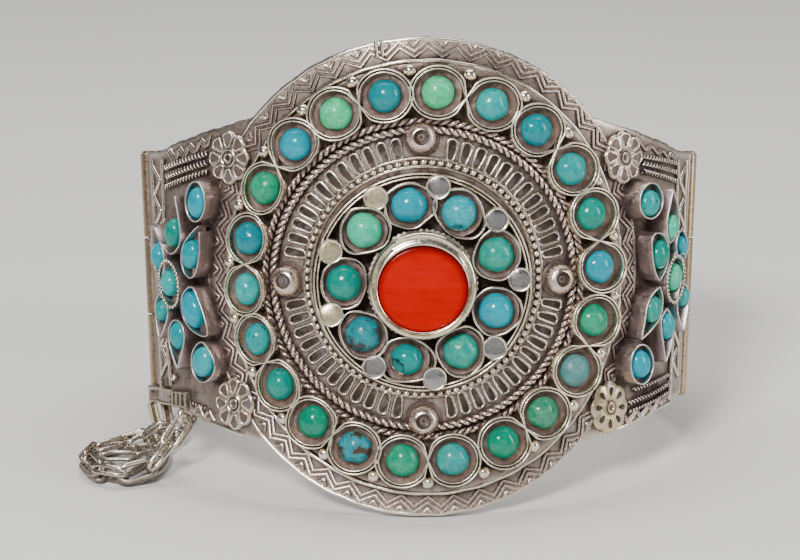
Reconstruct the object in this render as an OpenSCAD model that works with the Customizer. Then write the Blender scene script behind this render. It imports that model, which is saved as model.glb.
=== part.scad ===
/* [Cuff] */
// Outer radius of the front, seen from above
front_r = 46; // [44:0.5:48]
// Outer radius of the two sides, seen from above
side_r = 26.1; // [25.5:0.1:26.5]
// Where the front curve gives way to the side curve, in degrees from the middle
front_a = 30; // [28:0.5:32]
// Where the hinge barrels sit, in degrees from the middle
hinge_a = 78; // [76:0.5:80]
// Thickness of the silver sheet
sheet_t = 1.2; // [1:0.1:1.4]
// How much the radius grows for each millimetre of height
flare = 0.042; // [0.03:0.001:0.05]
// Half of the straight stretch at the middle of the back
back_flat = 12; // [10:0.5:14]

/* [Disc] */
// Half width of the disc, measured along the curved face
disc_w = 29.2; // [28.6:0.1:29.6]
// Half height of the disc
disc_h = 29.65; // [29.2:0.1:30]
// Half width of the raised field on the disc
field_w = 25.4; // [25:0.1:25.8]
// Half height of the raised field
field_h = 26.4; // [26:0.1:26.8]
// Height of the raised field over the sheet
field_t = 0.9; // [0.7:0.05:1.1]

/* [Settings] */
// Outer radius of a strip cell on the outer ring
cell_r = 3.45; // [3.4:0.05:3.5]
// Thickness of the strip that forms the cells
strip_t = 0.5; // [0.4:0.05:0.6]
// Height of the outer ring's strip
cell_h = 2.1; // [1.8:0.1:2.4]
// Radius of a stone on the outer ring
stone_r = 2.25; // [2.1:0.05:2.35]
// Outer radius of a cell on the inner ring
inner_cell_r = 3.05; // [3:0.05:3.1]
// Radius of a stone on the inner ring
inner_stone_r = 2.15; // [2:0.05:2.2]
// Top of the inner ring's cells over the face
inner_top = 3.1; // [2.8:0.1:3.4]
// Outer radius of the middle bezel
bezel_r = 6.6; // [6.5:0.05:6.65]
// Radius of the flat middle stone
carnelian_r = 5.75; // [5.6:0.05:5.8]

/* [Hinges] */
// Outer radius of a hinge barrel
barrel_r = 1.1; // [1:0.05:1.2]
// Radius of the hinge and clasp pins
pin_r = 0.5; // [0.45:0.01:0.52]
// Play between a pin and its bore
pin_play = 0.1; // [0.08:0.01:0.15]

/* [Chain] */
// Width of one link
link_w = 3; // [2.95:0.01:3.05]
// Thickness of the wire in the chain
link_wire = 0.62; // [0.5:0.01:0.62]

/* [Hidden] */
$fn = 48;

silver = [0.72, 0.68, 0.63];
worn_silver = [0.62, 0.58, 0.54];
turquoise = [0.2, 0.72, 0.74];
green_turquoise = [0.22, 0.6, 0.47];
orange_red = [0.78, 0.2, 0.08];

// Small overlap that seats one soldered piece in another
seat = 0.35;
// Where two curves of the sheet meet, one laps over the other by this thickness and angle
lap_t = 0.01;
lap_a = 0.4;
// Gap between pieces that only touch
gap = 0.06;
// Height of the middle of the disc, and the edges of the wings
disc_mid = -0.2;
wing_top = [[21, 19.9], [39, 15.7], [60, 15.5]];
wing_bottom = [[21, 21.2], [36, 17.6], [46, 16.2], [60, 16.2]];
barrel_top = 15.5;
barrel_bottom = -16.3;
// Where the knuckles of each barrel meet
knuckle_upper = 4.4;
knuckle_lower = -5.7;
knuckle_gap = 0.2;
// Free room beside a barrel for the edge of the sheet
leaf_room = 0.3;
// The clasp's collar takes this bite out of the lower left corner of the cuff
collar_u = 38.4;
collar_top = -15;
collar_bottom = -17.3;

lean = atan(flare);
front_s = front_r * front_a * PI / 180;
side_x = (front_r - side_r) * sin(front_a);
side_y = front_r - (front_r - side_r) * cos(front_a);
hinge_s = front_s + side_r * (hinge_a - front_a) * PI / 180;
barrel_in = 0.4;
barrel_x = side_x + (side_r - barrel_in) * sin(hinge_a);
barrel_y = side_y - (side_r - barrel_in) * cos(hinge_a);
leaf_end = barrel_r + leaf_room;
web_l = leaf_end + 0.6;
back_r = barrel_x - back_flat + sheet_t / 2;

// The cuff leans back until the disc's lower rim and the back's lower edge both touch the table
disc_low = disc_mid - disc_h;
disc_low_y = sheet_t - flare * disc_low;
back_low_y = barrel_y + back_r + flare * barrel_bottom;
tilt = atan((barrel_bottom - disc_low) / (back_low_y - disc_low_y));
lift = disc_low_y * sin(tilt) - disc_low * cos(tilt);
// Moves the middle of the whole part's footprint to the origin
footprint = [-3.63, 20.38];

// A point on the outer face: u runs round the cuff from the middle of the disc, v up, h outwards
function side_sign(u) = u < 0 ? -1 : 1;
function plan_angle(u) = side_sign(u) * (abs(u) <= front_s
    ? abs(u) / front_r * 180 / PI
    : front_a + (abs(u) - front_s) / side_r * 180 / PI);
function face_x(u, v, h = 0) = abs(u) <= front_s
    ? (front_r + flare * v + h) * sin(plan_angle(u))
    : side_sign(u) * side_x + (side_r + flare * v + h) * sin(plan_angle(u));
function face_y(u, v, h = 0) = abs(u) <= front_s
    ? front_r - (front_r + flare * v + h) * cos(plan_angle(u))
    : side_y - (side_r + flare * v + h) * cos(plan_angle(u));
// The same face seen from the front
function seen(u, v) = [face_x(u, v), v];
function ellipse_point(w, h, a) = seen(w * sin(a), disc_mid + h * cos(a));
function edge_x(i) = face_x(min(wing_steps[i], hinge_s), 0) + (i == 0 ? past_end : 0);
// How far the face falls away behind its middle at a distance x to the side
function fall(x) = front_r - sqrt(front_r * front_r - x * x);

module on_band(u, v, h = 0) {
    translate([face_x(u, v), face_y(u, v), v])
        rotate([90 + lean, 0, plan_angle(u)])
            translate([0, 0, h])
                children();
}

// The frame of the disc's middle: Z points out of the disc
module on_disc(x, v, h = 0) {
    rotate([90 + lean, 0, 0])
        translate([x, v, h])
            children();
}

// The frame of a hinge barrel: Z runs up the barrel, X away from the front half
module at_barrel(side) {
    mirror([side < 0 ? 1 : 0, 0, 0])
        translate([barrel_x, barrel_y, 0])
            rotate([lean, 0, hinge_a])
                children();
}

module standing() {
    translate([-footprint[0], -footprint[1], lift])
        rotate([-tilt, 0, 0])
            children();
}

module flared_wall(r_in, r_out, a0, a1, z0, z1) {
    rotate([0, 0, a0 - 90])
        rotate_extrude(angle = a1 - a0)
            polygon([
                [r_in + flare * z0, z0],
                [r_out + flare * z0, z0],
                [r_out + flare * z1, z1],
                [r_in + flare * z1, z1]
            ]);
}

module front_wall(h0, h1, z0, z1) {
    translate([0, front_r, 0])
        flared_wall(front_r + h0, front_r + h1, -front_a, front_a, z0, z1);
}

module side_wall(h0, h1, z0, z1, a1) {
    for (side = [0, 1])
        mirror([side, 0, 0])
            translate([side_x, side_y, 0])
                flared_wall(side_r + h0 - lap_t, side_r + h1 + lap_t, front_a - lap_a, a1, z0, z1);
}

// A stretch of the left side, from a distance u round the cuff to the barrel
module left_side_wall(h0, h1, from_u, z0, z1) {
    mirror([1, 0, 0])
        translate([side_x, side_y, 0])
            flared_wall(side_r + h0, side_r + h1, plan_angle(from_u), hinge_a, z0, z1);
}

module through_front(depth = 60) {
    translate([0, depth, 0])
        rotate([90, 0, 0])
            linear_extrude(depth + 10)
                children();
}

// Outline of the front half, disc and wings in one: where the disc's arc meets the wings' edges
join_top = asin(21.3 / disc_w);
join_bottom = asin(20.7 / disc_w);
wing_steps = [52, 44, 41, 39, 36.5, 34, 31.5, 29, 26.5, 24];
arc_steps = 22;
// The outline runs on past the hinges by this much, where there is no sheet left to cut
past_end = 9;

module front_outline() {
    n = len(wing_steps);
    polygon(concat(
        [for (i = [0:n - 1]) [edge_x(i), lookup(wing_steps[i], wing_top)]],
        [for (i = [0:arc_steps]) ellipse_point(disc_w, disc_h, join_top * (1 - 2 * i / arc_steps))],
        [for (i = [n - 1:-1:0]) [-edge_x(i), lookup(wing_steps[i], wing_top)]],
        [for (i = [0:n - 1]) [-edge_x(i), -lookup(wing_steps[i], wing_bottom)]],
        [for (i = [0:arc_steps]) ellipse_point(disc_w, disc_h, 180 + join_bottom * (1 - 2 * i / arc_steps))],
        [for (i = [n - 1:-1:0]) [edge_x(i), -lookup(wing_steps[i], wing_bottom)]]
    ));
}

module sheet() {
    end_a = hinge_a - leaf_end / (side_r - barrel_in) * 180 / PI;
    difference() {
        intersection() {
            union() {
                front_wall(-sheet_t, 0, -30, 30);
                side_wall(-sheet_t, 0, -22, 22, end_a);
            }
            through_front()
                front_outline();
        }
        left_side_wall(-2 * sheet_t, sheet_t, collar_u, -20, collar_top);
    }
}

// The raised field carries all the rings of stones
module field() {
    intersection() {
        union() {
            front_wall(-seat, field_t, -28, 28);
            side_wall(-seat, field_t, -10, 10, front_a + 8);
        }
        through_front()
            polygon([for (i = [0:59]) ellipse_point(field_w, field_h, i * 6)]);
    }
}

// Turquoises of the outer ring, clockwise from the top: angle, and 1 where the stone is green
OUTER = [
    [4, 1], [21, 0], [37, 0], [54, 0], [70, 0], [87, 0], [104, 0], [121, 0], [138, 1], [154, 1], [171, 0],
    [186.8, 1], [202.5, 0], [218, 1], [234, 1], [250, 0], [266, 0], [282, 0], [299, 1], [316, 0], [332, 1], [348, 0]
];
outer_w = 21.95;
outer_h = 22.75;
ANGLE = 0;
GREEN = 1;

function outer_u(i) = outer_w * sin(OUTER[i][ANGLE]);
function outer_v(i) = outer_h * cos(OUTER[i][ANGLE]);

module strip_cell(r, h0, h1) {
    translate([0, 0, h0])
        difference() {
            cylinder(r = r, h = h1 - h0);
            translate([0, 0, -1])
                cylinder(r = r - strip_t, h = h1 - h0 + 2);
        }
}

module outer_cells() {
    for (i = [0:len(OUTER) - 1])
        on_band(outer_u(i), outer_v(i))
            strip_cell(cell_r, field_t - seat, field_t + cell_h);
}

// A cabochon: a straight girdle under a round dome
module cabochon(r, h, dome) {
    ball = (r * r + dome * dome) / (2 * dome);
    intersection() {
        cylinder(r = r, h = h);
        translate([0, 0, h - ball])
            sphere(r = ball);
    }
}

module turquoise_ring(i) {
    color(OUTER[i][GREEN] == 1 ? green_turquoise : turquoise)
        standing()
            on_band(outer_u(i), outer_v(i), field_t + gap + 0.04)
                cabochon(stone_r, cell_h + 0.5, 1.35);
}

// The inner ring: nine stones, and nine flat studs between them
inner_mid = [-0.2, -0.6];
INNER = [[350, 0], [27.5, 0], [69, 0], [111, 0], [151, 1], [192, 1], [229, 0], [270, 1], [312, 1]];
STUDS = [331, 9, 49.5, 88, 132, 173, 210, 251, 289];
inner_ring = 9.65;
stud_ring = 11.9;
stud_r = 1.38;
stud_top = 2.7;
wall_r = 13.6;
wall_in = 13.1;
wall_top = 1.9;

function inner_x(i) = inner_mid[0] + inner_ring * sin(INNER[i][ANGLE]);
function inner_v(i) = inner_mid[1] + inner_ring * cos(INNER[i][ANGLE]);
// A depth that is inside the sheet under a piece of radius r at a distance x to the side
function rooted(x, r) = field_t - fall(abs(x) + r) - 0.1;

module inner_cells() {
    for (i = [0:len(INNER) - 1])
        on_disc(inner_x(i), inner_v(i))
            strip_cell(inner_cell_r, rooted(inner_x(i), inner_cell_r), inner_top);
}

module turquoise_inner(i) {
    base = field_t - fall(max(0, abs(inner_x(i)) - inner_stone_r)) + gap + 0.04;
    color(INNER[i][GREEN] == 1 ? green_turquoise : turquoise)
        standing()
            on_disc(inner_x(i), inner_v(i), base)
                cabochon(inner_stone_r, inner_top + 0.6 - base, 1.3);
}

module studs() {
    for (a = STUDS) {
        x = inner_mid[0] + stud_ring * sin(a);
        root = rooted(x, stud_r);
        on_disc(x, inner_mid[1] + stud_ring * cos(a), root)
            rotate_extrude()
                polygon([
                    [0, 0],
                    [stud_r, 0],
                    [stud_r, stud_top - root - 0.15],
                    [stud_r - 0.15, stud_top - root],
                    [0, stud_top - root]
                ]);
    }
}

// The wall round the inner ring stands square on the disc
module inner_wall() {
    root = -sheet_t + 0.02;
    on_disc(inner_mid[0], inner_mid[1], root)
        difference() {
            cylinder(r = wall_r, h = wall_top - root);
            translate([0, 0, -1])
                cylinder(r = wall_in, h = wall_top - root + 2);
        }
}

bezel_mid = [-0.25, -0.8];
bezel_top = 5;
bezel_floor = 3;

module middle_bezel() {
    root = rooted(0, bezel_r);
    on_disc(bezel_mid[0], bezel_mid[1])
        rotate_extrude()
            polygon([
                [0, root],
                [bezel_r + 0.2, root],
                [bezel_r + 0.2, 1.5],
                [bezel_r - 0.2, 1.9],
                [bezel_r - 0.25, 4.1],
                [bezel_r, 4.5],
                [bezel_r - 0.1, bezel_top],
                [carnelian_r + gap, bezel_top],
                [carnelian_r + gap, bezel_floor],
                [0, bezel_floor]
            ]);
}

module carnelian() {
    color(orange_red)
        standing()
            on_disc(bezel_mid[0], bezel_mid[1])
                rotate_extrude()
                    polygon([
                        [0, bezel_floor + gap],
                        [carnelian_r, bezel_floor + gap],
                        [carnelian_r, bezel_top - 0.45],
                        [carnelian_r - 0.35, bezel_top - 0.1],
                        [0, bezel_top]
                    ]);
}

// Four domed bosses with a ring and a pit on top
BOSSES = [[-0.4, 17.2], [16.75, -0.3], [-0.1, -17.7], [-16.9, -0.5]];

module bosses() {
    for (b = BOSSES)
        on_band(b[0], b[1], field_t)
            rotate_extrude()
                polygon([
                    [0, -seat],
                    [2.35, -seat],
                    [2.35, 0.4],
                    [1.95, 1],
                    [1.4, 1.4],
                    [1.35, 1.9],
                    [0.85, 1.9],
                    [0.8, 1.3],
                    [0, 1.2]
                ]);
}

// Four rosettes, where the wings leave the disc
ROSETTES = [[-24.6, 14.9], [25.8, 14.9], [-24.8, -16.2], [24.8, -16.8]];
petals = 10;

module rosettes() {
    for (r = ROSETTES)
        on_band(r[0], r[1], -0.4) {
            linear_extrude(1)
                union() {
                    circle(r = 2.2);
                    for (i = [0:petals - 1])
                        rotate(i * 360 / petals)
                            translate([2.1, 0])
                                circle(r = 0.78);
                }
            cylinder(r = 0.95, h = 1.5);
        }
}

// Stones of the wings: u, v, stone radius, direction of the cell's tip (-1 for none), and 1 where green
LEFT_WING = [
    [-28, 9.3, 1.9, -1, 0],
    [-31.9, 5.3, 1.5, 0, 1],
    [-29.1, 2.5, 1.5, 330, 0],
    [-34.9, 2.1, 1.5, 20, 0],
    [-33, -1, 1.4, -1, 0],
    [-29.2, -4.6, 1.6, 215, 0],
    [-34.7, -4.6, 1.5, 170, 0],
    [-31.8, -7.7, 1.5, 180, 0],
    [-27.8, -10.9, 1.9, -1, 0]
];
RIGHT_WING = [
    [28.4, 9.4, 1.9, -1, 0],
    [32, 6.1, 1.5, 0, 1],
    [30.2, 2.4, 1.5, 30, 0],
    [34.8, 3.6, 1.3, -1, 0],
    [33, -0.1, 1.4, -1, 1],
    [29.4, -4.3, 1.6, 145, 0],
    [35, -3.4, 1.5, -1, 0],
    [32, -6.7, 1.5, 180, 0],
    [27.6, -11, 1.9, -1, 0]
];
U = 0;
V = 1;
RADIUS = 2;
TIP = 3;
wing_cell_h = 2.7;
wing_gap = 0.12;
wing_strip = 0.32;

module drop_outline(r, tip) {
    circle(r = r);
    if (tip >= 0)
        rotate(-tip)
            polygon([[-r * 0.86, r * 0.5], [0, r * 1.75], [r * 0.86, r * 0.5]]);
}

// The cells run into each other, and every stone keeps its own pocket free
module wing_cells(rows) {
    root = -seat - 0.1;
    difference() {
        for (s = rows)
            on_band(s[U], s[V], root)
                linear_extrude(wing_cell_h - root)
                    drop_outline(s[RADIUS] + wing_gap + wing_strip, s[TIP]);
        for (s = rows)
            on_band(s[U], s[V], root - 1)
                cylinder(r = s[RADIUS] + wing_gap, h = wing_cell_h - root + 2);
    }
}

module wing_stones(rows) {
    standing()
        for (s = rows)
            on_band(s[U], s[V], gap + 0.04)
                cabochon(s[RADIUS], wing_cell_h + 0.6, 1.1);
}

module left_wing_stones() {
    color(turquoise)
        wing_stones(LEFT_WING);
}

module right_wing_stones() {
    color(turquoise)
        wing_stones(RIGHT_WING);
}

// One knuckle, with a web that joins it to the edge of its half
module knuckle(z0, z1, web_to, web_y) {
    translate([0, 0, z0])
        difference() {
            union() {
                cylinder(r = barrel_r, h = z1 - z0);
                translate([min(0, web_to), web_y, 0])
                    cube([abs(web_to), sheet_t, z1 - z0]);
            }
            translate([0, 0, -1])
                cylinder(r = pin_r + pin_play, h = z1 - z0 + 2);
        }
}

module front_knuckles() {
    for (side = [-1, 1])
        at_barrel(side) {
            knuckle(knuckle_upper + knuckle_gap / 2, barrel_top, -web_l, -barrel_in);
            knuckle(side < 0 ? collar_top : barrel_bottom, knuckle_lower - knuckle_gap / 2, -web_l, -barrel_in);
        }
}

// The eye for the end of the chain, under the left wing's lower edge
eye_u = -35.4;
eye_v = -lookup(35.4, wing_bottom) - 0.8;
eye_r = 1.15;
eye_wire = 0.38;

module chain_eye() {
    on_band(eye_u, eye_v, -sheet_t / 2)
        rotate([0, 90, 0])
            rotate_extrude()
                translate([eye_r, 0])
                    circle(r = eye_wire, $fn = 24);
}

module front_panel() {
    color(silver)
        standing() {
            sheet();
            field();
            outer_cells();
            inner_wall();
            inner_cells();
            studs();
            middle_bezel();
            bosses();
            rosettes();
            wing_cells(LEFT_WING);
            wing_cells(RIGHT_WING);
            front_knuckles();
            chain_eye();
        }
}

pin_head = 0.3;

module pin_shaft(top, bottom) {
    translate([0, 0, bottom])
        cylinder(r = pin_r, h = top - bottom);
    translate([0, 0, top - 0.01])
        cylinder(r = barrel_r - 0.2, h = pin_head);
}

module hinge_pin() {
    color(worn_silver)
        standing()
            at_barrel(1) {
                pin_shaft(barrel_top + gap, barrel_bottom - gap);
                translate([0, 0, barrel_bottom - gap - pin_head])
                    cylinder(r = barrel_r - 0.2, h = pin_head + 0.01);
            }
}

// The clasp's pin ends in a collar with two legs and a bar for the chain
leg_l = 3.3;
leg_w = 1.5;
leg_t = 0.6;
bar_r = 0.42;
// Room between the collar and the bitten corner of the front half
collar_gap = 0.15;

module collar() {
    top = collar_top - collar_gap;
    left_side_wall(-1.5, 0.6, collar_u + collar_gap, collar_bottom, top);
    at_barrel(-1)
        translate([0, 0, collar_bottom])
            cylinder(r = barrel_r + 0.1, h = top - collar_bottom);
}

// A flat leg from a point on the collar down to the bar, both given as distances along the collar
module leg(from_u, to_u) {
    turn = atan((from_u - to_u) / leg_l);
    on_band(-hinge_s + from_u, collar_bottom + 0.2, -1)
        rotate([0, 0, turn])
            translate([-leg_w / 2, -leg_l / cos(turn) - 0.2, 0])
                cube([leg_w, leg_l / cos(turn) + 0.3, leg_t]);
}

module clasp_pin() {
    color(silver)
        standing() {
            at_barrel(-1)
                pin_shaft(barrel_top + gap, collar_bottom + 0.5);
            collar();
            leg(0.3, 2);
            leg(4.6, 4);
            on_band(-hinge_s + 3, collar_bottom - leg_l + 0.1, -0.7)
                translate([-1.9, 0, 0])
                    rotate([0, 90, 0])
                        cylinder(r = bar_r, h = 3.8);
        }
}

// Where the chain's links hook into each other, from the bar, over the table and up to the eye
LINK_JOINTS = [
    [-33, 14.1, 3.9],
    [-35.6, 13.7, 1.6],
    [-39.1, 13.1, 1.2],
    [-42.2, 11.1, 1.2],
    [-43.1, 7.5, 1.2],
    [-41.5, 4.2, 1.2],
    [-38.1, 2.7, 1.3],
    [-34.6, 3.8, 1.9],
    [-32.5, 5.8, 4.1],
    [-30.4, 8, 6.8]
];
LINK_ROLLS = [75, -30, 45, -45, 45, -45, 60, -45, 15];
link_play = 0.36;
link_steps = 14;
wire_sides = 6;

// A point on the wire's centre line, at step i round a link whose ends' centres lie far apart
function link_point(i, far, r) = let(a = (i + 0.5) * 360 / link_steps)
    [(cos(a) > 0 ? 1 : -1) * far / 2 + r * cos(a), r * sin(a), 0];

// A closed ring of wire round a straight-sided oval
module link_ring(length, width, wire) {
    r = (width - wire) / 2;
    far = length - width;
    points = [
        for (i = [0:link_steps - 1])
            let(a = (i + 0.5) * 360 / link_steps)
                for (j = [0:wire_sides - 1])
                    let(b = j * 360 / wire_sides)
                        link_point(i, far, r + wire / 2 * cos(b)) + [0, 0, wire / 2 * sin(b)]
    ];
    faces = [
        for (i = [0:link_steps - 1])
            for (j = [0:wire_sides - 1])
                let(k = (i + 1) % link_steps, m = (j + 1) % wire_sides)
                    [i * wire_sides + j, i * wire_sides + m, k * wire_sides + m, k * wire_sides + j]
    ];
    polyhedron(points, faces, convexity = 4);
}

// A link between two joints: its ends hook just past them
module link(from, to, roll) {
    d = to - from;
    flat = norm([d[0], d[1]]);
    translate((from + to) / 2)
        rotate([0, -atan2(d[2], flat), atan2(d[1], d[0])])
            rotate([roll, 0, 0])
                link_ring(norm(d) + 2 * link_wire + link_play, link_w, link_wire);
}

module safety_chain() {
    color(silver)
        translate([-footprint[0], -footprint[1], 0])
            for (i = [0:len(LINK_ROLLS) - 1])
                link(LINK_JOINTS[i], LINK_JOINTS[i + 1], LINK_ROLLS[i]);
}

// The back half is a plain band
module back_panel() {
    start = leaf_end / back_r * 180 / PI;
    z0 = barrel_bottom;
    z1 = barrel_top;
    outer = barrel_y + back_r + lap_t;
    inner = outer - sheet_t - 2 * lap_t;
    color(worn_silver)
        standing() {
            for (side = [0, 1])
                mirror([side, 0, 0])
                    translate([back_flat, barrel_y, 0])
                        flared_wall(back_r - sheet_t, back_r, 90 + start, 180, z0, z1);
            rotate([90, 0, 90])
                translate([0, 0, -back_flat - 0.1])
                    linear_extrude(2 * back_flat + 0.2)
                        polygon([
                            [inner + flare * z0, z0],
                            [outer + flare * z0, z0],
                            [outer + flare * z1, z1],
                            [inner + flare * z1, z1]
                        ]);
            for (side = [-1, 1])
                at_barrel(side)
                    rotate([0, 0, 90 - hinge_a])
                        knuckle(knuckle_lower + knuckle_gap / 2, knuckle_upper - knuckle_gap / 2, web_l, -sheet_t / 2);
        }
}

front_panel();
carnelian();
for (i = [0:len(OUTER) - 1])
    turquoise_ring(i);
for (i = [0:len(INNER) - 1])
    turquoise_inner(i);
left_wing_stones();
right_wing_stones();
hinge_pin();
clasp_pin();
safety_chain();
back_panel();
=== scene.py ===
"""A hinged cuff bracelet of aged silver with turquoises and a carnelian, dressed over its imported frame."""

import math

import bmesh
import bpy
import numpy as np
from mathutils import Matrix, Vector


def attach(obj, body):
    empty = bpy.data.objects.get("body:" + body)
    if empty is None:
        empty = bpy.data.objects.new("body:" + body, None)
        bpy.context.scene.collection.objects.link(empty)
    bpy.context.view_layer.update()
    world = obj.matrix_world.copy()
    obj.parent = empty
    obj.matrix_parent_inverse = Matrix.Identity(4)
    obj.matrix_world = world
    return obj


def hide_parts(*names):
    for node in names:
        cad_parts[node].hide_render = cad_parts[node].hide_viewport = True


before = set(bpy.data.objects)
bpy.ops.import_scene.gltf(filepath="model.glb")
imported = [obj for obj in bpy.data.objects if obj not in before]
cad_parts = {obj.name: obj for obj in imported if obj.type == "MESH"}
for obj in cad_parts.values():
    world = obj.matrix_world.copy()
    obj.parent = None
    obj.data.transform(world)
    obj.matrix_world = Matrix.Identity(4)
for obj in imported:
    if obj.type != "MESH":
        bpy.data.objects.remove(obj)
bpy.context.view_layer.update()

# Sizes of the cuff in millimetres and radians, as in the part's source
FRONT_R, SIDE_R = 46.0, 26.1
FRONT_A, HINGE_A = math.radians(30), math.radians(78)
SHEET_T, FLARE, FIELD_T = 1.2, 0.042, 0.9
LEAN = math.atan(FLARE)
SIDE_X = (FRONT_R - SIDE_R) * math.sin(FRONT_A)
SIDE_Y = FRONT_R - (FRONT_R - SIDE_R) * math.cos(FRONT_A)
FRONT_S = FRONT_R * FRONT_A
HINGE_S = FRONT_S + SIDE_R * (HINGE_A - FRONT_A)
BARREL_IN, BARREL_R, LEAF_END = 0.4, 1.1, 1.4
BARREL_X = SIDE_X + (SIDE_R - BARREL_IN) * math.sin(HINGE_A)
BARREL_Y = SIDE_Y - (SIDE_R - BARREL_IN) * math.cos(HINGE_A)
BARREL_TOP, BARREL_BOTTOM = 15.5, -16.3
KNUCKLE_UPPER, KNUCKLE_LOWER, KNUCKLE_GAP = 4.4, -5.7, 0.2
BACK_FLAT = 12.0
BACK_R = BARREL_X - BACK_FLAT + SHEET_T / 2
DISC_MID, DISC_W, DISC_H = -0.2, 29.2, 29.65
FIELD_W, FIELD_H, FIELD_U = 25.15, 26.55, 0.6
# Edges of the wings: how far round the cuff, and how far above or below its middle
WING_TOP = ((21, 19.9), (39, 15.7), (60, 15.5))
WING_BOTTOM = ((21, 21.2), (36, 17.6), (46, 16.2), (60, 16.2))
# Where the disc's edge gives way to the wings, above and below
ROOT_TOP, ROOT_BOTTOM = 21.3, 20.7
COLLAR_U, COLLAR_TOP, COLLAR_BOTTOM = 38.4, -15.0, -17.3
# Middle of the footprint, and how far the cuff leans back and is lifted to stand on the table
FOOTPRINT = (-3.63, 20.38)
FOOT_Y = SHEET_T - FLARE * (DISC_MID - DISC_H)
TILT = math.atan((BARREL_BOTTOM - DISC_MID + DISC_H) / (BARREL_Y + BACK_R + FLARE * BARREL_BOTTOM - FOOT_Y))
LIFT = FOOT_Y * math.sin(TILT) - (DISC_MID - DISC_H) * math.cos(TILT)

# The camera in the cuff's own frame: its direction, distance and scale at the front of the disc
YAW, RISE, DISTANCE, PIXEL = math.radians(1.5), math.radians(2.0), 320.0, 0.1235
FRAME_PX, CENTRE_PX = (800, 560), (424.0, 276.5)
look = Vector((math.sin(YAW) * math.cos(RISE), math.cos(YAW) * math.cos(RISE), -math.sin(RISE)))
across = Vector((math.cos(YAW), -math.sin(YAW), 0))
upward = across.cross(look)
VIEWPOINT = -np.array(look) * DISTANCE
# The cuff's face lies between these distances from the camera
NEAREST, FARTHEST = 280.0, 348.0

# Outer ring, clockwise from the top: angle in degrees and the stone's kind
OUTER = (
    (4, "mottled_green"), (21, "light_turquoise"), (37, "deep_teal"), (54, "speckled_turquoise"),
    (70, "teal_green"), (87, "bright_blue"), (104, "sea_green"), (121, "grey_teal"),
    (138, "streaked_green"), (154, "deep_green"), (171, "clouded_blue"), (186.8, "sea_green"),
    (202.5, "matrix_blue"), (218, "deep_green"), (234, "teal_green"), (250, "speckled_turquoise"),
    (266, "light_turquoise"), (282, "deep_teal"), (299, "sea_green"), (316, "bright_blue"),
    (332, "mottled_green"), (348, "deep_teal"),
)
OUTER_W, OUTER_H, OUTER_R, CELL_TOP = 21.95, 22.75, 2.0, 3.0
# Inner ring, clockwise from the top: angle, kind, and how long the cell is along the ring
INNER = (
    (350, "bright_blue", 1.0), (27.5, "chipped_blue", 1.08), (69, "clouded_teal", 1.0),
    (111, "bright_blue", 1.0), (151, "clouded_teal", 1.02), (192, "broken_teal", 1.08),
    (229, "half_matrix", 1.0), (270, "teal_green", 0.98), (312, "pale_green", 1.0),
)
# Angles of the round studs between the inner stones and their wall
STUDS = (331, 9, 49.5, 88, 132, 173, 210, 251, 289)
INNER_MID, INNER_RING, INNER_R, INNER_TOP = (-0.2, -0.6), 9.65, 2.15, 3.1
STUD_RING, STUD_R = 11.9, 1.53
WALL_R, WALL_TOP = 13.35, 1.9
BEZEL_MID, CARNELIAN_R = (-0.25, -0.8), 5.29
BOSSES = ((-0.4, 17.2), (16.75, -0.3), (-0.1, -17.7), (-16.9, -0.5))
ROSETTES = ((-24.9, 14.7), (26.1, 14.8), (-25.0, -16.2), (25.0, -16.8))
PETALS = 8
# Wing stones, by their place in the picture: across, down, half width, half height, lean in degrees,
# pointedness, top of the stone, kind
LEFT_WING = (
    (195.7, 202.7, 8.2, 15.8, 0, 0.0, 3.9, "bright_blue"),
    (171.5, 233.0, 6.6, 14.5, 0, 0.1, 3.4, "teal_green"),
    (189.3, 254.7, 8.2, 14.7, 4, 0.0, 3.4, "cyan"),
    (157.3, 256.5, 5.0, 14.0, -4, 0.45, 3.2, "bright_blue"),
    (167.4, 283.3, 6.0, 13.2, -6, 0.1, 3.4, "light_turquoise"),
    (190.5, 310.0, 9.3, 19.0, -12, 0.4, 3.5, "bright_blue"),
    (161.0, 310.7, 4.4, 11.0, 0, 0.1, 3.2, "speckled_turquoise"),
    (177.0, 335.3, 7.4, 14.5, -3, 0.35, 3.4, "cyan"),
    (201.3, 362.0, 9.5, 15.3, 0, 0.0, 3.9, "light_blue"),
)
RIGHT_WING = (
    (651.3, 203.3, 8.7, 13.5, 6, 0.0, 3.9, "speckled_turquoise"),
    (672.7, 227.3, 5.0, 13.0, 8, 0.35, 3.3, "pale_green"),
    (682.3, 245.3, 4.4, 10.3, -6, 0.2, 3.2, "bright_blue"),
    (662.0, 254.7, 7.4, 14.6, 6, 0.1, 3.4, "teal_green"),
    (675.4, 277.0, 5.6, 14.0, 8, 0.1, 3.4, "pale_green"),
    (654.5, 309.4, 7.2, 13.6, 6, 0.1, 3.4, "clouded_teal"),
    (683.8, 296.0, 4.2, 10.8, 6, 0.2, 3.2, "light_turquoise"),
    (668.4, 325.5, 5.9, 14.0, 2, 0.1, 3.4, "light_blue"),
    (642.0, 364.4, 8.7, 14.3, 2, 0.0, 3.9, "bright_blue"),
)
# Oval cells of the wings in the picture: across, down, half width, half height, lean, top
WING_OVALS = (
    (194.6, 201.5, 9.6, 20.0, 0, 3.4), (651.8, 200.8, 11.4, 17.8, 4, 3.4),
    (642.6, 364.4, 11.2, 19.8, 2, 3.4), (168.6, 284.0, 9.2, 23.6, -8, 3.0),
    (676.0, 279.0, 8.2, 23.4, 6, 3.0),
)
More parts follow.
